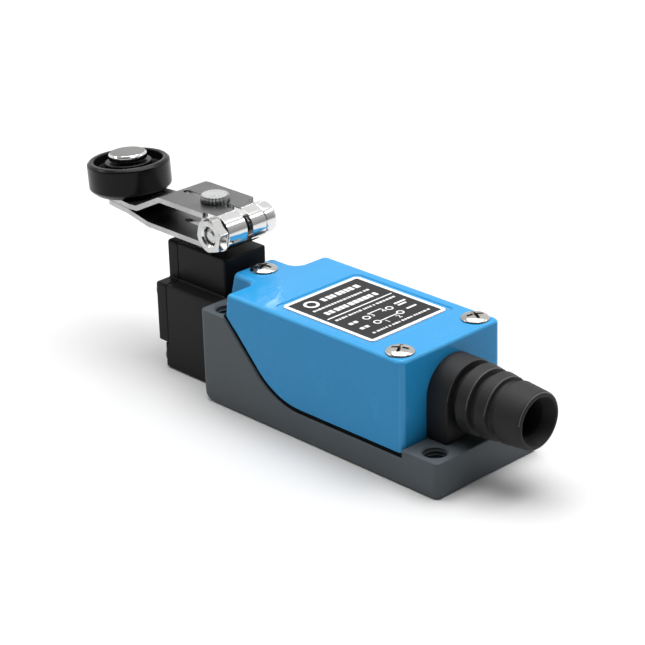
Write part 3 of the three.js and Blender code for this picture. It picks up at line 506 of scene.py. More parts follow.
def makeCover():
    high = boxMm("cover")[1]
    s = coverShape
    edge, rim = s["edge"], s["rim"]
    bottom = lambda x: min(seamHeight(x), seam["high"])
    loops = []
    for step in range(8):
        angle = math.pi / 2 * step / 7
        drop = edge * (1 - math.cos(angle))
        loops.append(coverLoop(edge * (1 - math.sin(angle)), lambda x: high.z - drop))
    for share in (0.2, 0.45, 0.7, 0.9, 1.0):
        loops.append(coverLoop(0, lambda x: (high.z - edge) * (1 - share) + (bottom(x) + rim) * share))
    loops.append(coverLoop(0.3 * rim, lambda x: bottom(x) + 0.3 * rim))
    loops.append(coverLoop(rim, bottom))
    inner = coverLoop(s["wall"], bottom)
    headEnd = s["shoulder"] + s["wall"]
    room = [(max(x, headEnd), y, bottom(max(x, headEnd))) for x, y, _ in inner]
    loops.append(room)
    loops.append([(x, y, high.z - s["wall"]) for x, y, _ in room])
    cover = skin("coverShell", loops)

    plateLow, plateHigh = boxMm("nameplate")
    gap = 0.85

    def recessLoop(grow, z):
        corners = [(plateHigh.x + gap, plateLow.y - gap), (plateHigh.x + gap, plateHigh.y + gap),
                   (plateLow.x - gap, plateHigh.y + gap), (plateLow.x - gap, plateLow.y - gap)]
        middle = (plateLow + plateHigh) / 2
        return [(x, y, z) for x, y in outline([
            (x + math.copysign(grow, x - middle.x), y + math.copysign(grow, y - middle.y), 1.3 + grow)
            for x, y in corners], 6)]

    floor = plateHigh.z - 0.13
    recess = skin("recess", [
        recessLoop(-0.4, floor), recessLoop(-0.2, floor + 0.015), recessLoop(-0.02, floor + 0.06),
        recessLoop(0.1, high.z - 0.06), recessLoop(0.25, high.z - 0.015),
        recessLoop(0.45, high.z + 0.001), recessLoop(0.45, high.z + 1)])
    carve(cover, recess)
    for node in ("cover_screw_1", "cover_screw_2", "cover_screw_3"):
        screwLow, screwHigh = boxMm(node)
        middle = (screwLow + screwHigh) / 2
        carve(cover, rod(s["screwR"], 0, 30, (middle.x, middle.y)))
    glandLow, glandHigh = boxMm("cable_gland")
    gland = (glandLow + glandHigh) / 2
    carve(cover, rod(5.6, high.x - 4, high.x + 2, (gland.y, gland.z), "x", 64))

    # Rounded top edges and end corners, away from the nameplate, take a lighter blue: a painted highlight
    # along the edges
    def edgeHighlightFaces(spot, normal):
        byPlate = plateLow.x - 2 < spot.x < plateHigh.x + 2 and abs(spot.y) < plateHigh.y + 2
        onTop = spot.z > high.z - edge and 0.2 < normal.z < 0.97 and not byPlate
        onCorner = spot.x > high.x - s["corner"] and 0.2 < abs(normal.y) < 0.98 and abs(normal.z) < 0.3
        return onTop or onCorner

    pickFaces(cover, edgeHighlightFaces)
    place(cover, "root", "cover_blue", ("coverBlue", "coverEdgeHighlight"), "cover", angle=30)


makeCover()
print("cover")

# Base
baseShape = {"corner": 1.15, "edge": 0.3, "foot": 0.25, "gap": 0.75, "ledge": 19.5, "wall": 2.6,
             "step": 23.2, "flange": 7.2, "floor": 2.5, "headCurve": 3.2, "holeR": 2.32,
             "holeX": 28, "holeY": 10.25}


def baseTop(x):
    s = baseShape
    return s["flange"] if x > s["step"] else min(seamHeight(x) - s["gap"], s["ledge"])


def basePlan(inset):
    high = boxMm("base_housing")[1]
    s = baseShape
    long, half, corner = high.x - inset, high.y - inset, max(s["corner"] - inset, 0.02)
    step = s["step"]
    return outline([
        (long, -half, corner, 14), (long, half, corner, 12), (step + 0.01, half, 0),
        (step - 0.01, half, 0, 90), (-long, half, corner, 14), (-long, -half, corner, 90),
        (step - 0.01, -half, 0), (step + 0.01, -half, 0, 12)], 7)


def makeBase():
    s = baseShape
    low = boxMm("base_housing")[0]

    def curved(x, z):
        reach = s["headCurve"]
        if z >= reach:
            return x
        return max(x, low.x + reach - math.sqrt(reach ** 2 - (reach - z) ** 2))

    def ring(inset, height):
        return [(curved(x, height(x)), y, height(x)) for x, y in basePlan(inset)]

    loops = [ring(s["foot"], lambda x: 0), ring(0.3 * s["foot"], lambda x: 0.3 * s["foot"])]
    for z in (0.25, 0.45, 0.7, 1.0, 1.4, 1.9, 2.5, s["headCurve"]):
        loops.append(ring(0, lambda x: z))
    edge = s["edge"]
    loops.append(ring(0, lambda x: (s["headCurve"] + baseTop(x)) / 2))
    for step in range(6):
        angle = math.pi / 2 * step / 5
        drop = edge * (1 - math.sin(angle))
        loops.append(ring(edge * (1 - math.cos(angle)), lambda x: baseTop(x) - drop))
    plan = [(min(max(x, -25.3), s["step"] + 0.01), y) for x, y in basePlan(edge)]
    loops.append([(x, y, baseTop(x)) for x, y in plan])
    loops.append([(x, y, baseTop(min(x, s["step"] - 0.01))) for x, y in plan])
    well = [(min(max(x, seam["highX"]), 20.2), y) for x, y in basePlan(s["wall"])]
    loops.append([(x, y, baseTop(x)) for x, y in well])
    loops.append([(x, y, s["floor"]) for x, y in well])
    base = skin("baseCasting", loops)
    for x in (-s["holeX"], s["holeX"]):
        for y in (-s["holeY"], s["holeY"]):
            top = baseTop(x)
            tool = lathe("tool", [
                (0, -1), (s["holeR"] + 1.4, -1), (s["holeR"], 0.4), (s["holeR"], top - 0.35),
                (s["holeR"] + 0.35, top + 0.001), (s["holeR"] + 0.35, top + 1), (0, top + 1)], 48)
            tool.data.transform(Matrix.Translation((x, y, 0)))
            carve(base, tool)
    place(base, "root", "base_grey", "castGrey", "base_housing", angle=30)


makeBase()
print("base")


# Thread: a coil with a small triangular section, swept along a spiral
def makeThreadTree():
    tree, graph, given, ids = newTree("thread", [
        ("Radius", "NodeSocketFloat", 2.2), ("Pitch", "NodeSocketFloat", 0.8),
        ("Turns", "NodeSocketFloat", 8.0), ("Ridge", "NodeSocketFloat", 0.3),
        ("Finish", "NodeSocketMaterial", None)])
    coil = graph.node(
        "GeometryNodeCurveSpiral", None,
        {"Resolution": 36, "Rotations": given["Turns"], "Start Radius": given["Radius"],
         "End Radius": given["Radius"], "Height": given["Turns"] * given["Pitch"], "Reverse": False})
    section = graph.node(
        "GeometryNodeCurvePrimitiveCircle", {"mode": "RADIUS"},
        {"Resolution": 6, "Radius": given["Ridge"]})
    swept = graph.node(
        "GeometryNodeCurveToMesh", None,
        {"Curve": coil, "Profile Curve": section, "Fill Caps": True})
    closeTree(graph, swept, given["Finish"])
    return tree, ids


threadTree, threadIds = makeThreadTree()
threadShape = {"radius": 2.42, "pitch": 0.8, "ridge": 0.27}


def makeHoleThreads():
    s, t = baseShape, threadShape
    bm = bmesh.new()
    for x in (-s["holeX"], s["holeX"]):
        for y in (-s["holeY"], s["holeY"]):
            height = baseTop(x) - 1.6
            coil = newPiece("coil", bmesh.new())
            grow(coil, threadTree, threadIds, Radius=t["radius"], Pitch=t["pitch"],
                 Turns=height / t["pitch"], Ridge=t["ridge"], Finish=looks["castGrey"])
            coil.data.transform(Matrix.Translation((x, y, 0.9)))
            bm.from_mesh(coil.data)
            bpy.data.objects.remove(coil)
    threads = newPiece("mountThreads", bm)
    place(threads, "root", "base_grey", "castGrey")


makeHoleThreads()


# Gasket: a thin band that follows the seam
def makeGasket():
    inset = 14 - boxMm("cover_gasket")[1].y

    def band(inset, drop):
        points = [(min(max(x, -25.2), 22.8), y) for x, y in basePlan(inset)]
        return [(x, y, min(seamHeight(x), seam["high"] + 0.1) - drop) for x, y in points]

    loops = [band(inset, 0.7), band(inset, 0.06), band(2.4, 0.06), band(2.4, 0.7)]
    gasket = skin("seamGasket", loops + [loops[0]], False, False)
    place(gasket, "root", "black_rubber", "sealRubber", "cover_gasket", angle=40)


makeGasket()
print("gasket and threads")

# Nameplate with plain bars and contact signs
labelShape = {"border": 0.95, "corner": 1.2, "print": 0.035, "edge": 0.1}


def makeNameplate():
    low, high = boxMm("nameplate")
    s = labelShape

    def loop(inset, z):
        return [(x, y, z) for x, y in outline([
            (high.x - inset, low.y + inset, max(s["corner"] - inset, 0.15)),
            (high.x - inset, high.y - inset, max(s["corner"] - inset, 0.15)),
            (low.x + inset, high.y - inset, max(s["corner"] - inset, 0.15)),
            (low.x + inset, low.y + inset, max(s["corner"] - inset, 0.15))], 6)]

    edge, top = s["edge"], high.z
    plate = skin("labelPlate", [
        loop(0, low.z), loop(0, top - edge), loop(0.3 * edge, top - 0.3 * edge), loop(edge, top)])
    pickFaces(plate, lambda spot, normal: normal.z < 0.9)
    place(plate, "root", "plate_black", ("labelBlack", "labelWhite"), "nameplate")
    lift = s["print"]
    frameLoops = [loop(edge, top - 0.02), loop(edge, top + lift), loop(s["border"], top + lift),
                  loop(s["border"], top - 0.02)]
    border = skin("labelBorder", frameLoops + [frameLoops[0]], False, False)
    place(border, "root", "plate_black", "labelWhite")


def makeLabelBars():
    top = boxMm("nameplate")[1].z
    lift = labelShape["print"]
    random.seed(11)
    block = prism("bar", outline([(0.5, -0.5, 0), (0.5, 0.5, 0), (-0.5, 0.5, 0), (-0.5, -0.5, 0)]), -1, 0.5)
    spots = []

    def bar(x, y0, y1, height):
        spots.append(((x, (y0 + y1) / 2, top + lift / 2), (0, 0, 0), (height, y1 - y0, lift)))

    # rows: place along the plate, height, first and last edge, shortest and longest bar
    rows = [(-8.2, 1.5, -3.2, 7.4, 0.8, 1.15), (-5.4, 0.62, -8.2, 7.6, 0.3, 0.8),
            (-2.9, 1.4, -7.4, 7.0, 0.8, 1.2), (0.75, 0.6, -8.3, 7.9, 0.3, 0.75),
            (9.9, 0.55, -7.6, 7.8, 0.3, 0.8)]
    for x, height, first, last, shortest, longest in rows:
        y = first
        while y < last - 0.6:
            length = min(random.uniform(shortest, longest), last - y)
            bar(x, y, y + length, height)
            y += length + random.choice((0.22, 0.22, 0.26, 0.5))
    bar(-0.75, -9.0, 8.45, 0.34)
    for y0, y1 in ((-7.8, -6.9), (-6.6, -5.7)):
        bar(3.9, y0, y1, 0.9)
        bar(6.9, y0, y1, 0.9)
    bar(2.95, -2.0, 1.7, 0.3)      # open contact
    bar(6.9, -2.6, 2.2, 0.3)       # closed contact
    for x, length in ((3.3, 3.0), (4.3, 2.2), (6.6, 2.6)):
        bar(x, 5.0, 5.0 + length, 0.55)
    bars = scatter("labelBars", block, "labelWhite", spots)
    place(bars, "root", "plate_black", "labelWhite")

    ring = lathe("ring", [(0.52, 0), (0.84, 0), (0.84, 1), (0.52, 1), (0.52, 0)], 32)
    signs = [((x, y, top), (0, 0, 0), (1, 1, lift)) for x, y in
             ((4.0, -3.3), (4.0, 2.9), (6.9, -3.3), (6.9, 2.9))]
    signs.append(((-8.2, -6.0, top), (0, 0, 0), (1.9, 1.9, lift)))
    rings = scatter("labelRings", ring, "labelWhite", signs)
    place(rings, "root", "plate_black", "labelWhite")


def makeLabelNumbers():
    top = boxMm("nameplate")[1].z
    bm = bmesh.new()
    for text, x, y in (("3", 4.0, -1.7), ("4", 4.0, 1.35), ("1", 8.1, -1.7), ("2", 8.1, 1.35)):
        curve = bpy.data.curves.new("digit", "FONT")
        curve.body = text
        curve.size = 1.9
        curve.align_x = curve.align_y = "CENTER"
        curve.extrude = labelShape["print"] / 2
        digit = bpy.data.objects.new("digit", curve)
        scene.collection.objects.link(digit)
        bpy.context.view_layer.update()
        graph = bpy.context.evaluated_depsgraph_get()
        mesh = bpy.data.meshes.new_from_object(digit.evaluated_get(graph))
        mesh.transform(Matrix.Translation((x, y, top + labelShape["print"] / 2))
                       @ Matrix.Rotation(math.pi / 2, 4, "Z"))
        bm.from_mesh(mesh)
        bpy.data.objects.remove(digit)
    bmesh.ops.remove_doubles(bm, verts=bm.verts, dist=0.001)
    bmesh.ops.recalc_face_normals(bm, faces=bm.faces)
    numbers = newPiece("labelNumbers", bm)
    place(numbers, "root", "plate_black", "labelWhite")


makeNameplate()
makeLabelBars()
makeLabelNumbers()
print("nameplate")

# Cable gland
glandShape = {"lip": 0.28, "groove": 5.3, "boreR": 3.8, "collarR": 7.05, "collarEnd": 28.0}


def makeGland():
    low, high = boxMm("cable_gland")
    middle = Vector((0, 0, high.z - glandShape["collarR"]))
    wall = boxMm("cover")[1].x
    lip, groove, bore = glandShape["lip"], glandShape["groove"], glandShape["boreR"]
    collarR, collarEnd = glandShape["collarR"], glandShape["collarEnd"]
    inside = wall - 1.9
    profile = outline([
        (0, low.x, 0), (7.0, low.x, 0.2), (7.0, inside, 0.2), (5.5, inside, 0.1),
        (5.5, collarEnd - 0.6, 0.05), (groove + 0.1, collarEnd + 0.1, 0.3), (groove, 29.6, 0.35),
        (6.95, 29.75, lip), (6.62, 32.3, lip),
        (groove + 0.05, 32.55, 0.35), (groove, 33.85, 0.35), (6.6, 34.0, lip),
        (6.28, 36.4, lip), (groove + 0.05, 36.65, 0.35), (groove - 0.05, 38.25, 0.35),
        (6.15, 38.4, 0.3), (5.62, high.x, 0.8), (0, high.x, 0)], 6, False)
    turn = Matrix.Translation((0, middle.y, middle.z)) @ Matrix.Rotation(math.pi / 2, 4, "Y")
    boot = lathe("glandBoot", profile, 120, turn)
    foot = low.z - middle.z
    collarPlan = outline([(-collarR, foot, 0.3), (-collarR, 0, 0)], 4, False)[:-1]
    collarPlan += [(collarR * math.cos(a), collarR * math.sin(a))
                   for a in (math.pi * (1 - step / 60) for step in range(61))]
    collarPlan += [(collarR, foot)]
    collar = prism("collar", collarPlan, wall + 0.05, collarEnd, "x")
    collar.data.transform(Matrix.Translation((0, 0, middle.z)))
    roundEdges(collar, lip, 4, 40, lambda p: p.x > collarEnd - 0.1)
    carve(boot, collar, "UNION")
    boreLine = outline([
        (0, low.x - 1, 0), (bore, low.x - 1, 0), (bore, high.x - 2.6, 0.8),
        (bore + 0.9, high.x - 0.12, 0.3), (bore + 2.2, high.x + 0.6, 0), (0, high.x + 0.6, 0)], 6, False)
    carve(boot, lathe("glandBore", boreLine, 96, turn))

    # The upper side of each lip's rounded edge takes the lighter rubber: a painted highlight
    def lipHighlightFaces(spot, normal):
        reach = math.hypot(spot.y, spot.z - middle.z)
        return normal.z > 0.1 and any(abs(spot.x - x) < 0.12 and reach > r - 0.2 for x, r in (
            (collarEnd, collarR), (32.3, 6.62), (36.4, 6.28), (high.x - 0.25, 5.62)))

    pickFaces(boot, lipHighlightFaces)
    place(boot, "root", "black_rubber", ("bootRubber", "bootLipHighlight"), "cable_gland", angle=50)


makeGland()
print("gland")

# Cross-recessed screws
coverScrew = {"radius": 2.8, "height": 0.95, "shankR": 1.25, "shankLength": 8}
headScrew = {"radius": 2.0, "height": 1.3, "shankR": 1.05, "shankLength": 6}
screwShape = {"rim": 0.14, "wing": 0.33, "reach": 1.72, "depth": 0.95, "taper": 0.55}


def crossLine(reach, wing, height):
    corners = []
    for x, y in ((1, 0), (0, 1), (-1, 0), (0, -1)):
        corners += [(x * reach + y * wing, y * reach - x * wing, 0.14),
                    (x * reach - y * wing, y * reach + x * wing, 0.14),
                    ((x - y) * wing, (x + y) * wing, 0.1)]
    return [(x, y, height) for x, y in outline(corners, 4)]


def makeScrewHead(radius, height, shankR, shankLength):
    s = screwShape
    scale = radius / 2.8

    def domeHeight(r):
        return height * (s["rim"] + (1 - s["rim"]) * (1 - min(1, r / radius) ** 2.1) ** 0.62)

    profile = [(0, -shankLength), (shankR, -shankLength), (shankR, 0), (radius - 0.1, 0),
               (radius, 0.06 * height)]
    profile += [(radius * math.sin(a), domeHeight(radius * math.sin(a)))
                for a in (math.pi / 2 * (1 - step / 18) for step in range(18))] + [(0, height)]
    head = lathe("screwHead", profile, 96)
    reach, wing, floor = s["reach"] * scale, s["wing"] * scale, height - s["depth"] * height
    cross = skin("cross", [
        crossLine(reach * s["taper"], wing * 0.6, floor), crossLine(reach, wing, height * 0.8),
        crossLine(reach * 1.2, wing * 1.1, height * 1.3)])
    carve(head, cross)
    # Faces sunk below the dome, the cross recess, are marked for painted shade
    paintedCrossShade = head.data.attributes.new("paintedCrossShade", "BOOLEAN", "FACE")
    for polygon in head.data.polygons:
        spot = polygon.center
        paintedCrossShade.data[polygon.index].value = (
            spot.z > -0.5 and domeHeight(math.hypot(spot.x, spot.y)) - spot.z > 0.05)
    return head


# Faces of the cross recess get the darker finish, a painted shade for the recess
def shadeCross(screws):
    paintedCrossShade = screws.data.attributes["paintedCrossShade"]
    for polygon in screws.data.polygons:
        polygon.material_index = int(paintedCrossShade.data[polygon.index].value)
    screws.data.attributes.remove(paintedCrossShade)
    return screws


def makeCoverScrews():
    head = makeScrewHead(**coverScrew)
    spots = []
    for node, turn in (("cover_screw_1", 0.5), ("cover_screw_2", 1.15), ("cover_screw_3", 0.25)):
        low, high = boxMm(node)
        middle = (low + high) / 2
        spots.append(((middle.x, middle.y, high.z - 1.2), (0, 0, turn), (1, 1, 1)))
    screws = shadeCross(scatter("coverScrews", head, "plated", spots))
    place(screws, "root", "plated_steel", ("plated", "platedPaintedShade"), "cover_screw_1", "cover_screw_2",
          "cover_screw_3", angle=50)


def makeHeadScrews():
    head = makeScrewHead(**headScrew)
    spots = []
    nodes = [f"head_screw_{number}" for number in (1, 2, 3, 4)]
    for index, node in enumerate(nodes):
        low, high = boxMm(node)
        middle = (low + high) / 2
        turn = Matrix.Rotation(-math.pi / 2, 3, "Y") @ Matrix.Rotation(0.4 + index, 3, "Z")
        seat = low.x + headScrew["height"]
        spots.append(((seat, middle.y, middle.z), tuple(turn.to_euler()), (1, 1, 1)))
    screws = shadeCross(scatter("headScrews", head, "plated", spots))
    place(screws, "root", "plated_steel", ("plated", "platedPaintedShade"), *nodes, angle=50)


makeCoverScrews()
makeHeadScrews()
print("screws")

# Head
headShape = {"lipTop": 5.3, "lipFar": -49.1, "far": -47.8, "shoulder": 18.6, "towerNear": -33.3,
             "towerHalf": 5.65, "corner": 0.55, "towerCorner": 0.7, "boreR": 4.3}


def makeHeadCasting():
    s = headShape
    low, high = boxMm("head_housing")
    half = high.y
    block = prism("headCasting", outline([
        (high.x, -half, s["corner"]), (high.x, half, s["corner"]),
        (s["lipFar"], half, s["corner"]), (s["lipFar"], -half, s["corner"])], 5), low.z, s["shoulder"])
    carve(block, prism("tower", outline([
        (s["towerNear"], -s["towerHalf"], s["towerCorner"]),
        (s["towerNear"], s["towerHalf"], s["towerCorner"]),
        (s["far"] - 1, s["towerHalf"], 0.01), (s["far"] - 1, -s["towerHalf"], 0.01)], 5),
        s["shoulder"] - 2, high.z), "UNION")
    carve(block, prism("room", [(s["far"], s["lipTop"]), (s["far"], 30), (-60, 30), (-60, s["lipTop"])],
                       -12, 12, "y"))
    roundEdges(block, 0.36, 4, 40, lambda p: p.x > s["far"] + 0.05 or p.z < s["lipTop"] - 0.05)
    roundEdges(block, 0.18, 2, 40, lambda p: p.x < s["far"] + 0.05 and p.z > s["lipTop"] + 0.05)
    carve(block, rod(s["boreR"], 14, 30, (boxMm("shaft")[0].x + 3, 0), "z", 64))
    place(block, "root", "head_black", "headBlack", "head_housing", angle=30)


def makeEndPlate():
    s = headShape
    low, high = boxMm("head_end_plate")
    half = high.y
    corners = [(-half, low.z, 0.5), (half, low.z, 0.5), (half, s["shoulder"], 0.5),
               (s["towerHalf"], s["shoulder"], 0.3), (s["towerHalf"], high.z, 0.6),
               (-s["towerHalf"], high.z, 0.6), (-s["towerHalf"], s["shoulder"], 0.3),
               (-half, s["shoulder"], 0.5)]
    plate = prism("headEndPlate", outline(corners, 5), low.x, high.x, "x")
    roundEdges(plate, 0.65, 5, 40, lambda p: p.x < low.x + 0.1)
    roundEdges(plate, 0.22, 2, 40, lambda p: p.x > high.x - 0.1)
    place(plate, "root", "head_black", "headBlack", "head_end_plate", angle=30)


makeHeadCasting()
makeEndPlate()
print("head")


# Shaft with a knurled end
def makeKnurlTree():
    tree, graph, given, ids = newTree("knurl", [
        ("Teeth", "NodeSocketInt", 24), ("Radius", "NodeSocketFloat", 3.0),
        ("Depth", "NodeSocketFloat", 0.25), ("Length", "NodeSocketFloat", 8.0),
        ("Finish", "NodeSocketMaterial", None)])
    sides = given["Teeth"] * 6
    body = graph.node(
        "GeometryNodeMeshCylinder", {"fill_type": "NGON"},
        {"Vertices": sides, "Side Segments": 25, "Radius": given["Radius"], "Depth": given["Length"]})
    spot = graph.node("GeometryNodeInputPosition")
    split = graph.tree.nodes.new("ShaderNodeSeparateXYZ")
    graph.tree.links.new(spot.socket, split.inputs[0])
    x, y, z = (Wire(graph, split.outputs[i]) for i in range(3))
    angle = graph.node("ShaderNodeMath", {"operation": "ARCTAN2"}, {0: y, 1: x})
    wave = (angle * given["Teeth"]).math("COSINE") * 0.5 + 0.5
    end = z / given["Length"] + 0.5
    lead = graph.node("ShaderNodeMapRange", {"clamp": True},
                      {"Value": end, "From Min": 0.96, "From Max": 1.0, "To Min": 0.0, "To Max": 0.05})
    pull = 1 - given["Depth"] * (1 - wave) / given["Radius"] - lead
    moved = graph.node(
        "GeometryNodeSetPosition", None,
        {"Geometry": body, "Position": graph.node(
            "ShaderNodeCombineXYZ", None, {0: x * pull, 1: y * pull, 2: z})})
    closeTree(graph, moved, given["Finish"])
    return tree, ids


knurlTree, knurlIds = makeKnurlTree()
shaftShape = {"radius": 3.0, "teeth": 24, "depth": 0.34, "knurlLow": 27.9}


def makeShaft():
    s = shaftShape
    low, high = boxMm("shaft")
    middle = (low + high) / 2
    knurl = newPiece("shaftKnurl", bmesh.new())
    length = high.z - s["knurlLow"]
    grow(knurl, knurlTree, knurlIds, Teeth=s["teeth"], Radius=s["radius"], Depth=s["depth"],
         Length=length, Finish=looks["shaftTop"])
    knurl.data.transform(Matrix.Translation((middle.x, 0, s["knurlLow"] + length / 2)))
    place(knurl, "lever", "plated_steel", "shaftTop", angle=25)
    body = lathe("shaftBody", [
        (0, low.z), (1.8, low.z), (2.05, low.z + 0.25), (2.05, 4), (2.5, 4), (2.5, 15.4),
        (s["radius"], 15.4), (s["radius"], s["knurlLow"] - 0.3), (2.6, s["knurlLow"] - 0.02),
        (0, s["knurlLow"] - 0.02)],
        64, Matrix.Translation((middle.x, 0, 0)))
    place(body, "lever", "plated_steel", "chrome", "shaft")


makeShaft()
print("shaft")

# Lever: one strap folded round the clamp bolt
strapShape = {"thick": 1.1, "half": 6.6, "clampX": 6.9, "clampR": 3.15, "topZ": 6.85,
              "pinX": -26.6, "pinLift": 0.8, "tilt": math.radians(4), "slitLow": -0.95,
              "slitHigh": 0.55, "slitStart": -8.3, "edge": 0.16}
leverLow = boxMm("lever_arm")[0].z
shaftX = boxMm("shaft")[0].x + 3
rollerTurn = (Matrix.Translation((shaftX + strapShape["pinX"], 0, leverLow + strapShape["pinLift"]))
              @ Matrix.Rotation(-strapShape["tilt"], 4, "Y"))


def strapLine():
    s = strapShape
    half = s["thick"] / 2
    slope = math.tan(s["tilt"])
    tip = s["pinX"] - 8

    def lower(x):
        return s["pinLift"] + half + slope * (x - s["pinX"])

    def upper(x):
        return lower(x) + s["thick"] + 0.08

    line = outline([
        (tip, lower(tip), 0), (-20.0, lower(-20.0), 3.5), (-13.8, half, 3.5),
        (s["clampX"], half, 0)], 10, False)
    for step in range(1, 25):
        turn = -math.pi / 2 + math.pi * step / 24
        line.append((s["clampX"] + s["clampR"] * math.cos(turn),
                     half + s["clampR"] * (1 + math.sin(turn))))
    line += outline([
        (s["clampX"], s["topZ"], 0), (-9.95, s["topZ"], 1.3), (-17.3, upper(-17.3), 1.3),
        (tip, upper(tip), 0)], 8, False)[1:]
    return line


def thicken(line, thickness):
    left, right = [], []
    for index, point in enumerate(line):
        before = Vector(line[max(index - 1, 0)])
        after = Vector(line[min(index + 1, len(line) - 1)])
        along = (after - before).normalized()
        side = Vector((-along.y, along.x)) * thickness / 2
        left.append(tuple(Vector(point) + side))
        right.append(tuple(Vector(point) - side))
    return right + left[::-1]


def makeLever():
    s = strapShape
    half, pin = s["half"], s["pinX"]
    strap = prism("leverStrap", thicken(strapLine(), s["thick"]), -8, 8, "y")
    tipR = 5.0
    tip = [(pin + tipR * math.cos(a), tipR * math.sin(a))
           for a in (math.pi / 2 + (math.pi - 0.18) * step / 24 for step in range(25))]
    plan = outline([
        (12, -5.8, 0), (12, 4.1, 0), (5.4, 4.1, 0.3), (4.4, 5.1, 0.3), (4.4, half, 0.3),
        (-9.9, half, 5), (-12.6, tipR + 0.1, 3), (-16, tipR, 0)], 8, False)
    plan += tip + outline([(-19.8, -half, 0), (3.6, -half, 0.35), (3.6, -5.8, 0.3), (12, -5.8, 0)],
                          4, False)[:-1]
    carve(strap, prism("plan", plan, -5, 15), "INTERSECT")
    wide = s["slitHigh"] - s["slitLow"]
    slit = outline([(13, s["slitLow"], 0), (13, s["slitHigh"], 0),
                    (s["slitStart"] - 0.9, s["slitHigh"], wide / 2 - 0.02),
                    (s["slitStart"] - 0.9, s["slitLow"], wide / 2 - 0.02)], 8)
    carve(strap, prism("slit", slit, -5, 15))
    # The rounded edges take the second finish, a painted highlight
    roundEdges(strap, s["edge"], 2, 50, None, 1)
    carve(strap, rod(shaftShape["radius"] + 0.06, -5, 15, (0, 0), "z", 96))
    hole = rod(2.1, -6, 6)
    hole.data.transform(Matrix.Translation((pin, 0, s["pinLift"])) @ Matrix.Rotation(-s["tilt"], 4, "Y"))
    carve(strap, hole)
    strap.data.transform(Matrix.Translation((shaftX, 0, leverLow)))
    # The clamp barrel takes chrome; the strap's sides take the lighter steel, a painted highlight
    for polygon in strap.data.polygons:
        if polygon.center.x > shaftX + s["clampX"] - 0.6:
            polygon.material_index = 2
        elif abs(polygon.normal.y) > 0.6:
            polygon.material_index = 1
    place(strap, "lever", "strap_steel", ("strap", "strapEdgeHighlight", "chrome"), "lever_arm", angle=30)


nutShape = {"cornerR": 3.7, "turn": 16, "round": 0.25, "boreR": 1.82, "mouthR": 2.15}
boltShape = {"endR": 1.75, "headR": 3.4, "headLow": 4.2, "slotHalf": 0.4, "slotLow": 6.9}
alongY = Matrix.Rotation(-math.pi / 2, 4, "X")


def makeNut():
    s = nutShape
    low, high = boxMm("clamp_nut")
    middle = (low + high) / 2
    corners = [(s["cornerR"] * math.cos(a), s["cornerR"] * math.sin(a), s["round"])
               for a in (math.radians(s["turn"] + 60 * k) for k in range(6))]
    nut = prism("clampNut", outline(corners, 4), low.y, high.y, "y")
    turned = lathe("turned", [
        (0, low.y), (3.3, low.y), (3.45, low.y + 0.06), (3.72, low.y + 0.24),
        (3.72, high.y - 0.2), (3.55, high.y), (0, high.y)], 96, alongY)
    carve(nut, turned, "INTERSECT")
    bore = lathe("bore", [
        (0, low.y - 1), (s["mouthR"], low.y - 1), (s["mouthR"], low.y), (s["boreR"], low.y + 0.35),
        (s["boreR"], high.y + 1), (0, high.y + 1)], 64, alongY)
    carve(nut, bore)
    pickFaces(nut, lambda spot, normal: normal.y < -0.9)
    nut.data.transform(Matrix.Translation((middle.x, 0, middle.z)))
    place(nut, "lever", "plated_steel", ("chrome", "shaftTop"), "clamp_nut", angle=24)


def makeBolt():
    s = boltShape
    low, high = boxMm("clamp_bolt")
    middle = (low + high) / 2
    profile = outline([
        (0, low.y, 0), (0.9, low.y + 0.02, 0.5), (1.55, low.y + 0.45, 0.3),
        (s["endR"], low.y + 0.8, 0.2), (s["endR"], s["headLow"], 0.05), (2.9, s["headLow"], 0.05),
        (s["headR"], 4.6, 0.3), (s["headR"], high.y, 0.8), (0, high.y, 0)], 6, False)
    bolt = lathe("clampBolt", profile, 96, alongY)
    slotHalf = s["slotHalf"]
    slot = prism("slot", [(-4, -slotHalf), (4, -slotHalf), (4, slotHalf), (-4, slotHalf)],
                 s["slotLow"], 9, "y")
    carve(bolt, slot)
    pickFaces(bolt, lambda spot, normal: spot.y < 0)
    bolt.data.transform(Matrix.Translation((middle.x, 0, middle.z)))
    place(bolt, "lever", "plated_steel", ("chrome", "shaftTop"), "clamp_bolt", angle=40)


makeLever()
makeNut()
makeBolt()
print("lever")

# Roller and its pin, about the tilted axis
rollerShape = {"low": 2.4, "height": 6.8, "radius": 8.75, "rim": 7.3, "hub": 4.95, "recess": 2.2}


def makeRoller():
    s = rollerShape
    low, high = s["low"], s["low"] + s["height"]
    bore = 2.1
    profile = outline([
        (bore, low, 0), (3.4, low, 0.1), (3.6, low + 0.5, 0.2), (6.7, low + 0.5, 0.2), (6.9, low, 0.1),
        (7.5, low, 0.35), (s["radius"], low + 1.15, 0.8), (s["radius"], high - 0.55, 0.45),
        (s["radius"] - 0.55, high, 0.4), (s["rim"], high, 0.3), (s["rim"] - 0.15, high - s["recess"], 0.5),
        (s["hub"] + 0.15, high - s["recess"], 0.5), (s["hub"], high - 0.35, 0.25),
        (bore, high - 0.35, 0), (bore, low, 0)], 6, False)
    roller = lathe("leverRoller", profile, 144, rollerTurn)
    place(roller, "roller", "roller_black", "rollerBlack", "roller", angle=45)


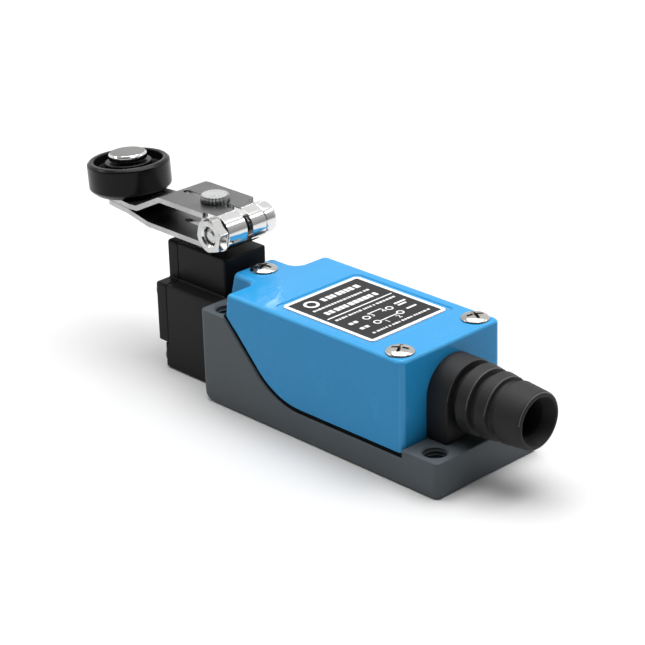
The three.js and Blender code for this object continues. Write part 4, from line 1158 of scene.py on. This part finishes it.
def makePin():
    s = rollerShape
    seat = s["low"] + s["height"] + 0.12
    top = 10.75
    profile = outline([
        (0, -0.85, 0), (1.9, -0.85, 0.3), (2.5, -0.5, 0.2), (2.8, -0.12, 0.05), (2.0, -0.12, 0),
        (2.0, seat, 0), (4.05, seat, 0.12), (4.05, top - 0.4, 0.15), (3.72, top, 0.18), (0, top, 0)],
        5, False)
    pin = lathe("rollerPin", profile, 96, rollerTurn)
    inverse = rollerTurn.inverted()

    def onRim(spot, normal):
        spot = inverse @ spot
        return math.hypot(spot.x, spot.y) > 3.7 and spot.z > seat - 0.1

    pickFaces(pin, onRim)
    place(pin, "lever", "strap_steel", ("pinFace", "chrome"), "roller_pin", angle=40)


makeRoller()
makePin()
print("roller")

# Springs: copies of the CAD coils, each listed with the joint that presses it and its fixed end
springs = {"plunger_spring": ("plungerCoil", "plunger_slide", -30.5),
           "button_spring": ("buttonCoil", "button_slide", 4.8)}


def makeSprings():
    for node, (name, joint, fixedX) in springs.items():
        bm = bmesh.new()
        bm.from_mesh(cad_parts[node].data)
        bmesh.ops.remove_doubles(bm, verts=bm.verts, dist=0.000001)
        coil = newPiece(name, bm)
        coil.data.transform(Matrix.Scale(1 / mm, 4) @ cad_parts[node].matrix_world)
        place(coil, "root", "spring_steel", "springSteel", node, angle=50)
        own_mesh(coil)


makeSprings()

# CAD pieces that stay as they are get their finish
keptFinish = {
    "head_seal": "sealRubber", "shaft_bush": "brass", "shaft_seal_ring": "sealRubber",
    "seal_washer": "springSteel", "shaft_circlip": "springSteel", "cam": "springSteel",
    "cam_pin": "springSteel", "plunger": "brass",
    "contact_block_case": "phenolic", "contact_block_lid": "phenolic", "switch_button": "buttonRed",
    "contact_bridge": "brass", "block_screw": "plated",
    "terminal_screw": "plated", "terminal": "brass"}
for node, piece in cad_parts.items():
    if piece.hide_render:
        continue
    key = next((k for k in keptFinish if node == k or node.rstrip("1234").rstrip("_") == k), None)
    if key is None:
        raise ValueError(f"no finish for {node}")
    piece.data.materials.clear()
    piece.data.materials.append(looks[keptFinish[key]])
print("inner pieces")


# Floor, light and camera
def makeStage():
    bm = bmesh.new()
    bmesh.ops.create_grid(bm, x_segments=2, y_segments=2, size=4)
    floor = newPiece("floor", bm)
    floor.data.transform(Matrix.Translation((0, 0, -0.0002)))
    paper, graph, shader, spot = newFinish("paper", (0.68, 0.68, 0.68), 0.7, specular=0.1)
    cloud = shades(graph, noise(graph, spot, 30, 2), 0.3, 0.7)
    feed(graph, shader, Roughness=0.68 + cloud * 0.04)
    floor.data.materials.append(paper)


def makeLight(name, position, target, size, power, shade=1.0):
    lamp = bpy.data.lights.new(name, "AREA")
    lamp.shape = "RECTANGLE"
    lamp.size, lamp.size_y = size
    lamp.energy = power
    lamp.color = (shade, shade, 1.0)
    light = bpy.data.objects.new(name, lamp)
    light.location = position
    light.rotation_euler = (Vector(target) - Vector(position)).to_track_quat("-Z", "Y").to_euler()
    scene.collection.objects.link(light)


# Sky: bright towards the lever's far side (-X, +Y), dark opposite
def makeSky(dark, bright):
    world = bpy.data.worlds.new("studio")
    scene.world = world
    world.use_nodes = True
    back = next(n for n in world.node_tree.nodes if n.type == "BACKGROUND")
    graph = Graph(world.node_tree)
    way = graph.node("ShaderNodeTexCoord", output="Generated")
    side = graph.node("ShaderNodeVectorMath", {"operation": "DOT_PRODUCT"},
                      {0: way, 1: (-0.68, 0.70, 0.2)}, "Value")
    level = graph.node("ShaderNodeMapRange", {"interpolation_type": "SMOOTHSTEP"},
                       {"Value": side, "From Min": -0.5, "From Max": 0.6, "To Min": dark,
                        "To Max": bright})
    back.inputs["Color"].default_value = (1, 1, 1, 1)
    graph.tree.links.new(level.socket, back.inputs["Strength"])


def makeCamera():
    azimuth, elevation, roll = math.radians(46.172), math.radians(23.767), math.radians(-1.523)
    back = Vector((math.sin(azimuth) * math.cos(elevation), -math.cos(azimuth) * math.cos(elevation),
                   math.sin(elevation)))
    right = Vector((math.cos(azimuth), math.sin(azimuth), 0))
    up = back.cross(right)
    side = math.cos(roll) * right + math.sin(roll) * up
    top = -math.sin(roll) * right + math.cos(roll) * up
    data = bpy.data.cameras.new("camera")
    data.sensor_width = 36
    data.lens = 36 * 2172 / 645
    data.clip_start, data.clip_end = 0.01, 20
    camera = bpy.data.objects.new("camera", data)
    turn = Matrix((side, top, back)).transposed().to_4x4()
    camera.matrix_world = Matrix.Translation((0.26995, -0.27018, 0.18979)) @ turn
    scene.collection.objects.link(camera)
    scene.camera = camera


makeStage()
makeSky(0.06, 0.95)
makeLight("overhead", (-0.05, 0.1, 0.75), (0, 0, 0.02), (0.8, 0.6), 7.6)
makeLight("edgeLeft", (-0.53, -0.33, 0.51), (0, -0.012, 0.02), (0.4, 0.09), 0.5)
makeLight("edgeRight", (0.33, 0.51, 0.53), (0.02, 0, 0.02), (0.4, 0.09), 0.5)
makeLight("window", (-0.7358, 0.6429, 0.4374), (-0.0174, -0.0093, 0.0247), (0.0165, 0.0095), 0.01)
makeCamera()
scene.view_settings.view_transform = "Standard"
print("stage")
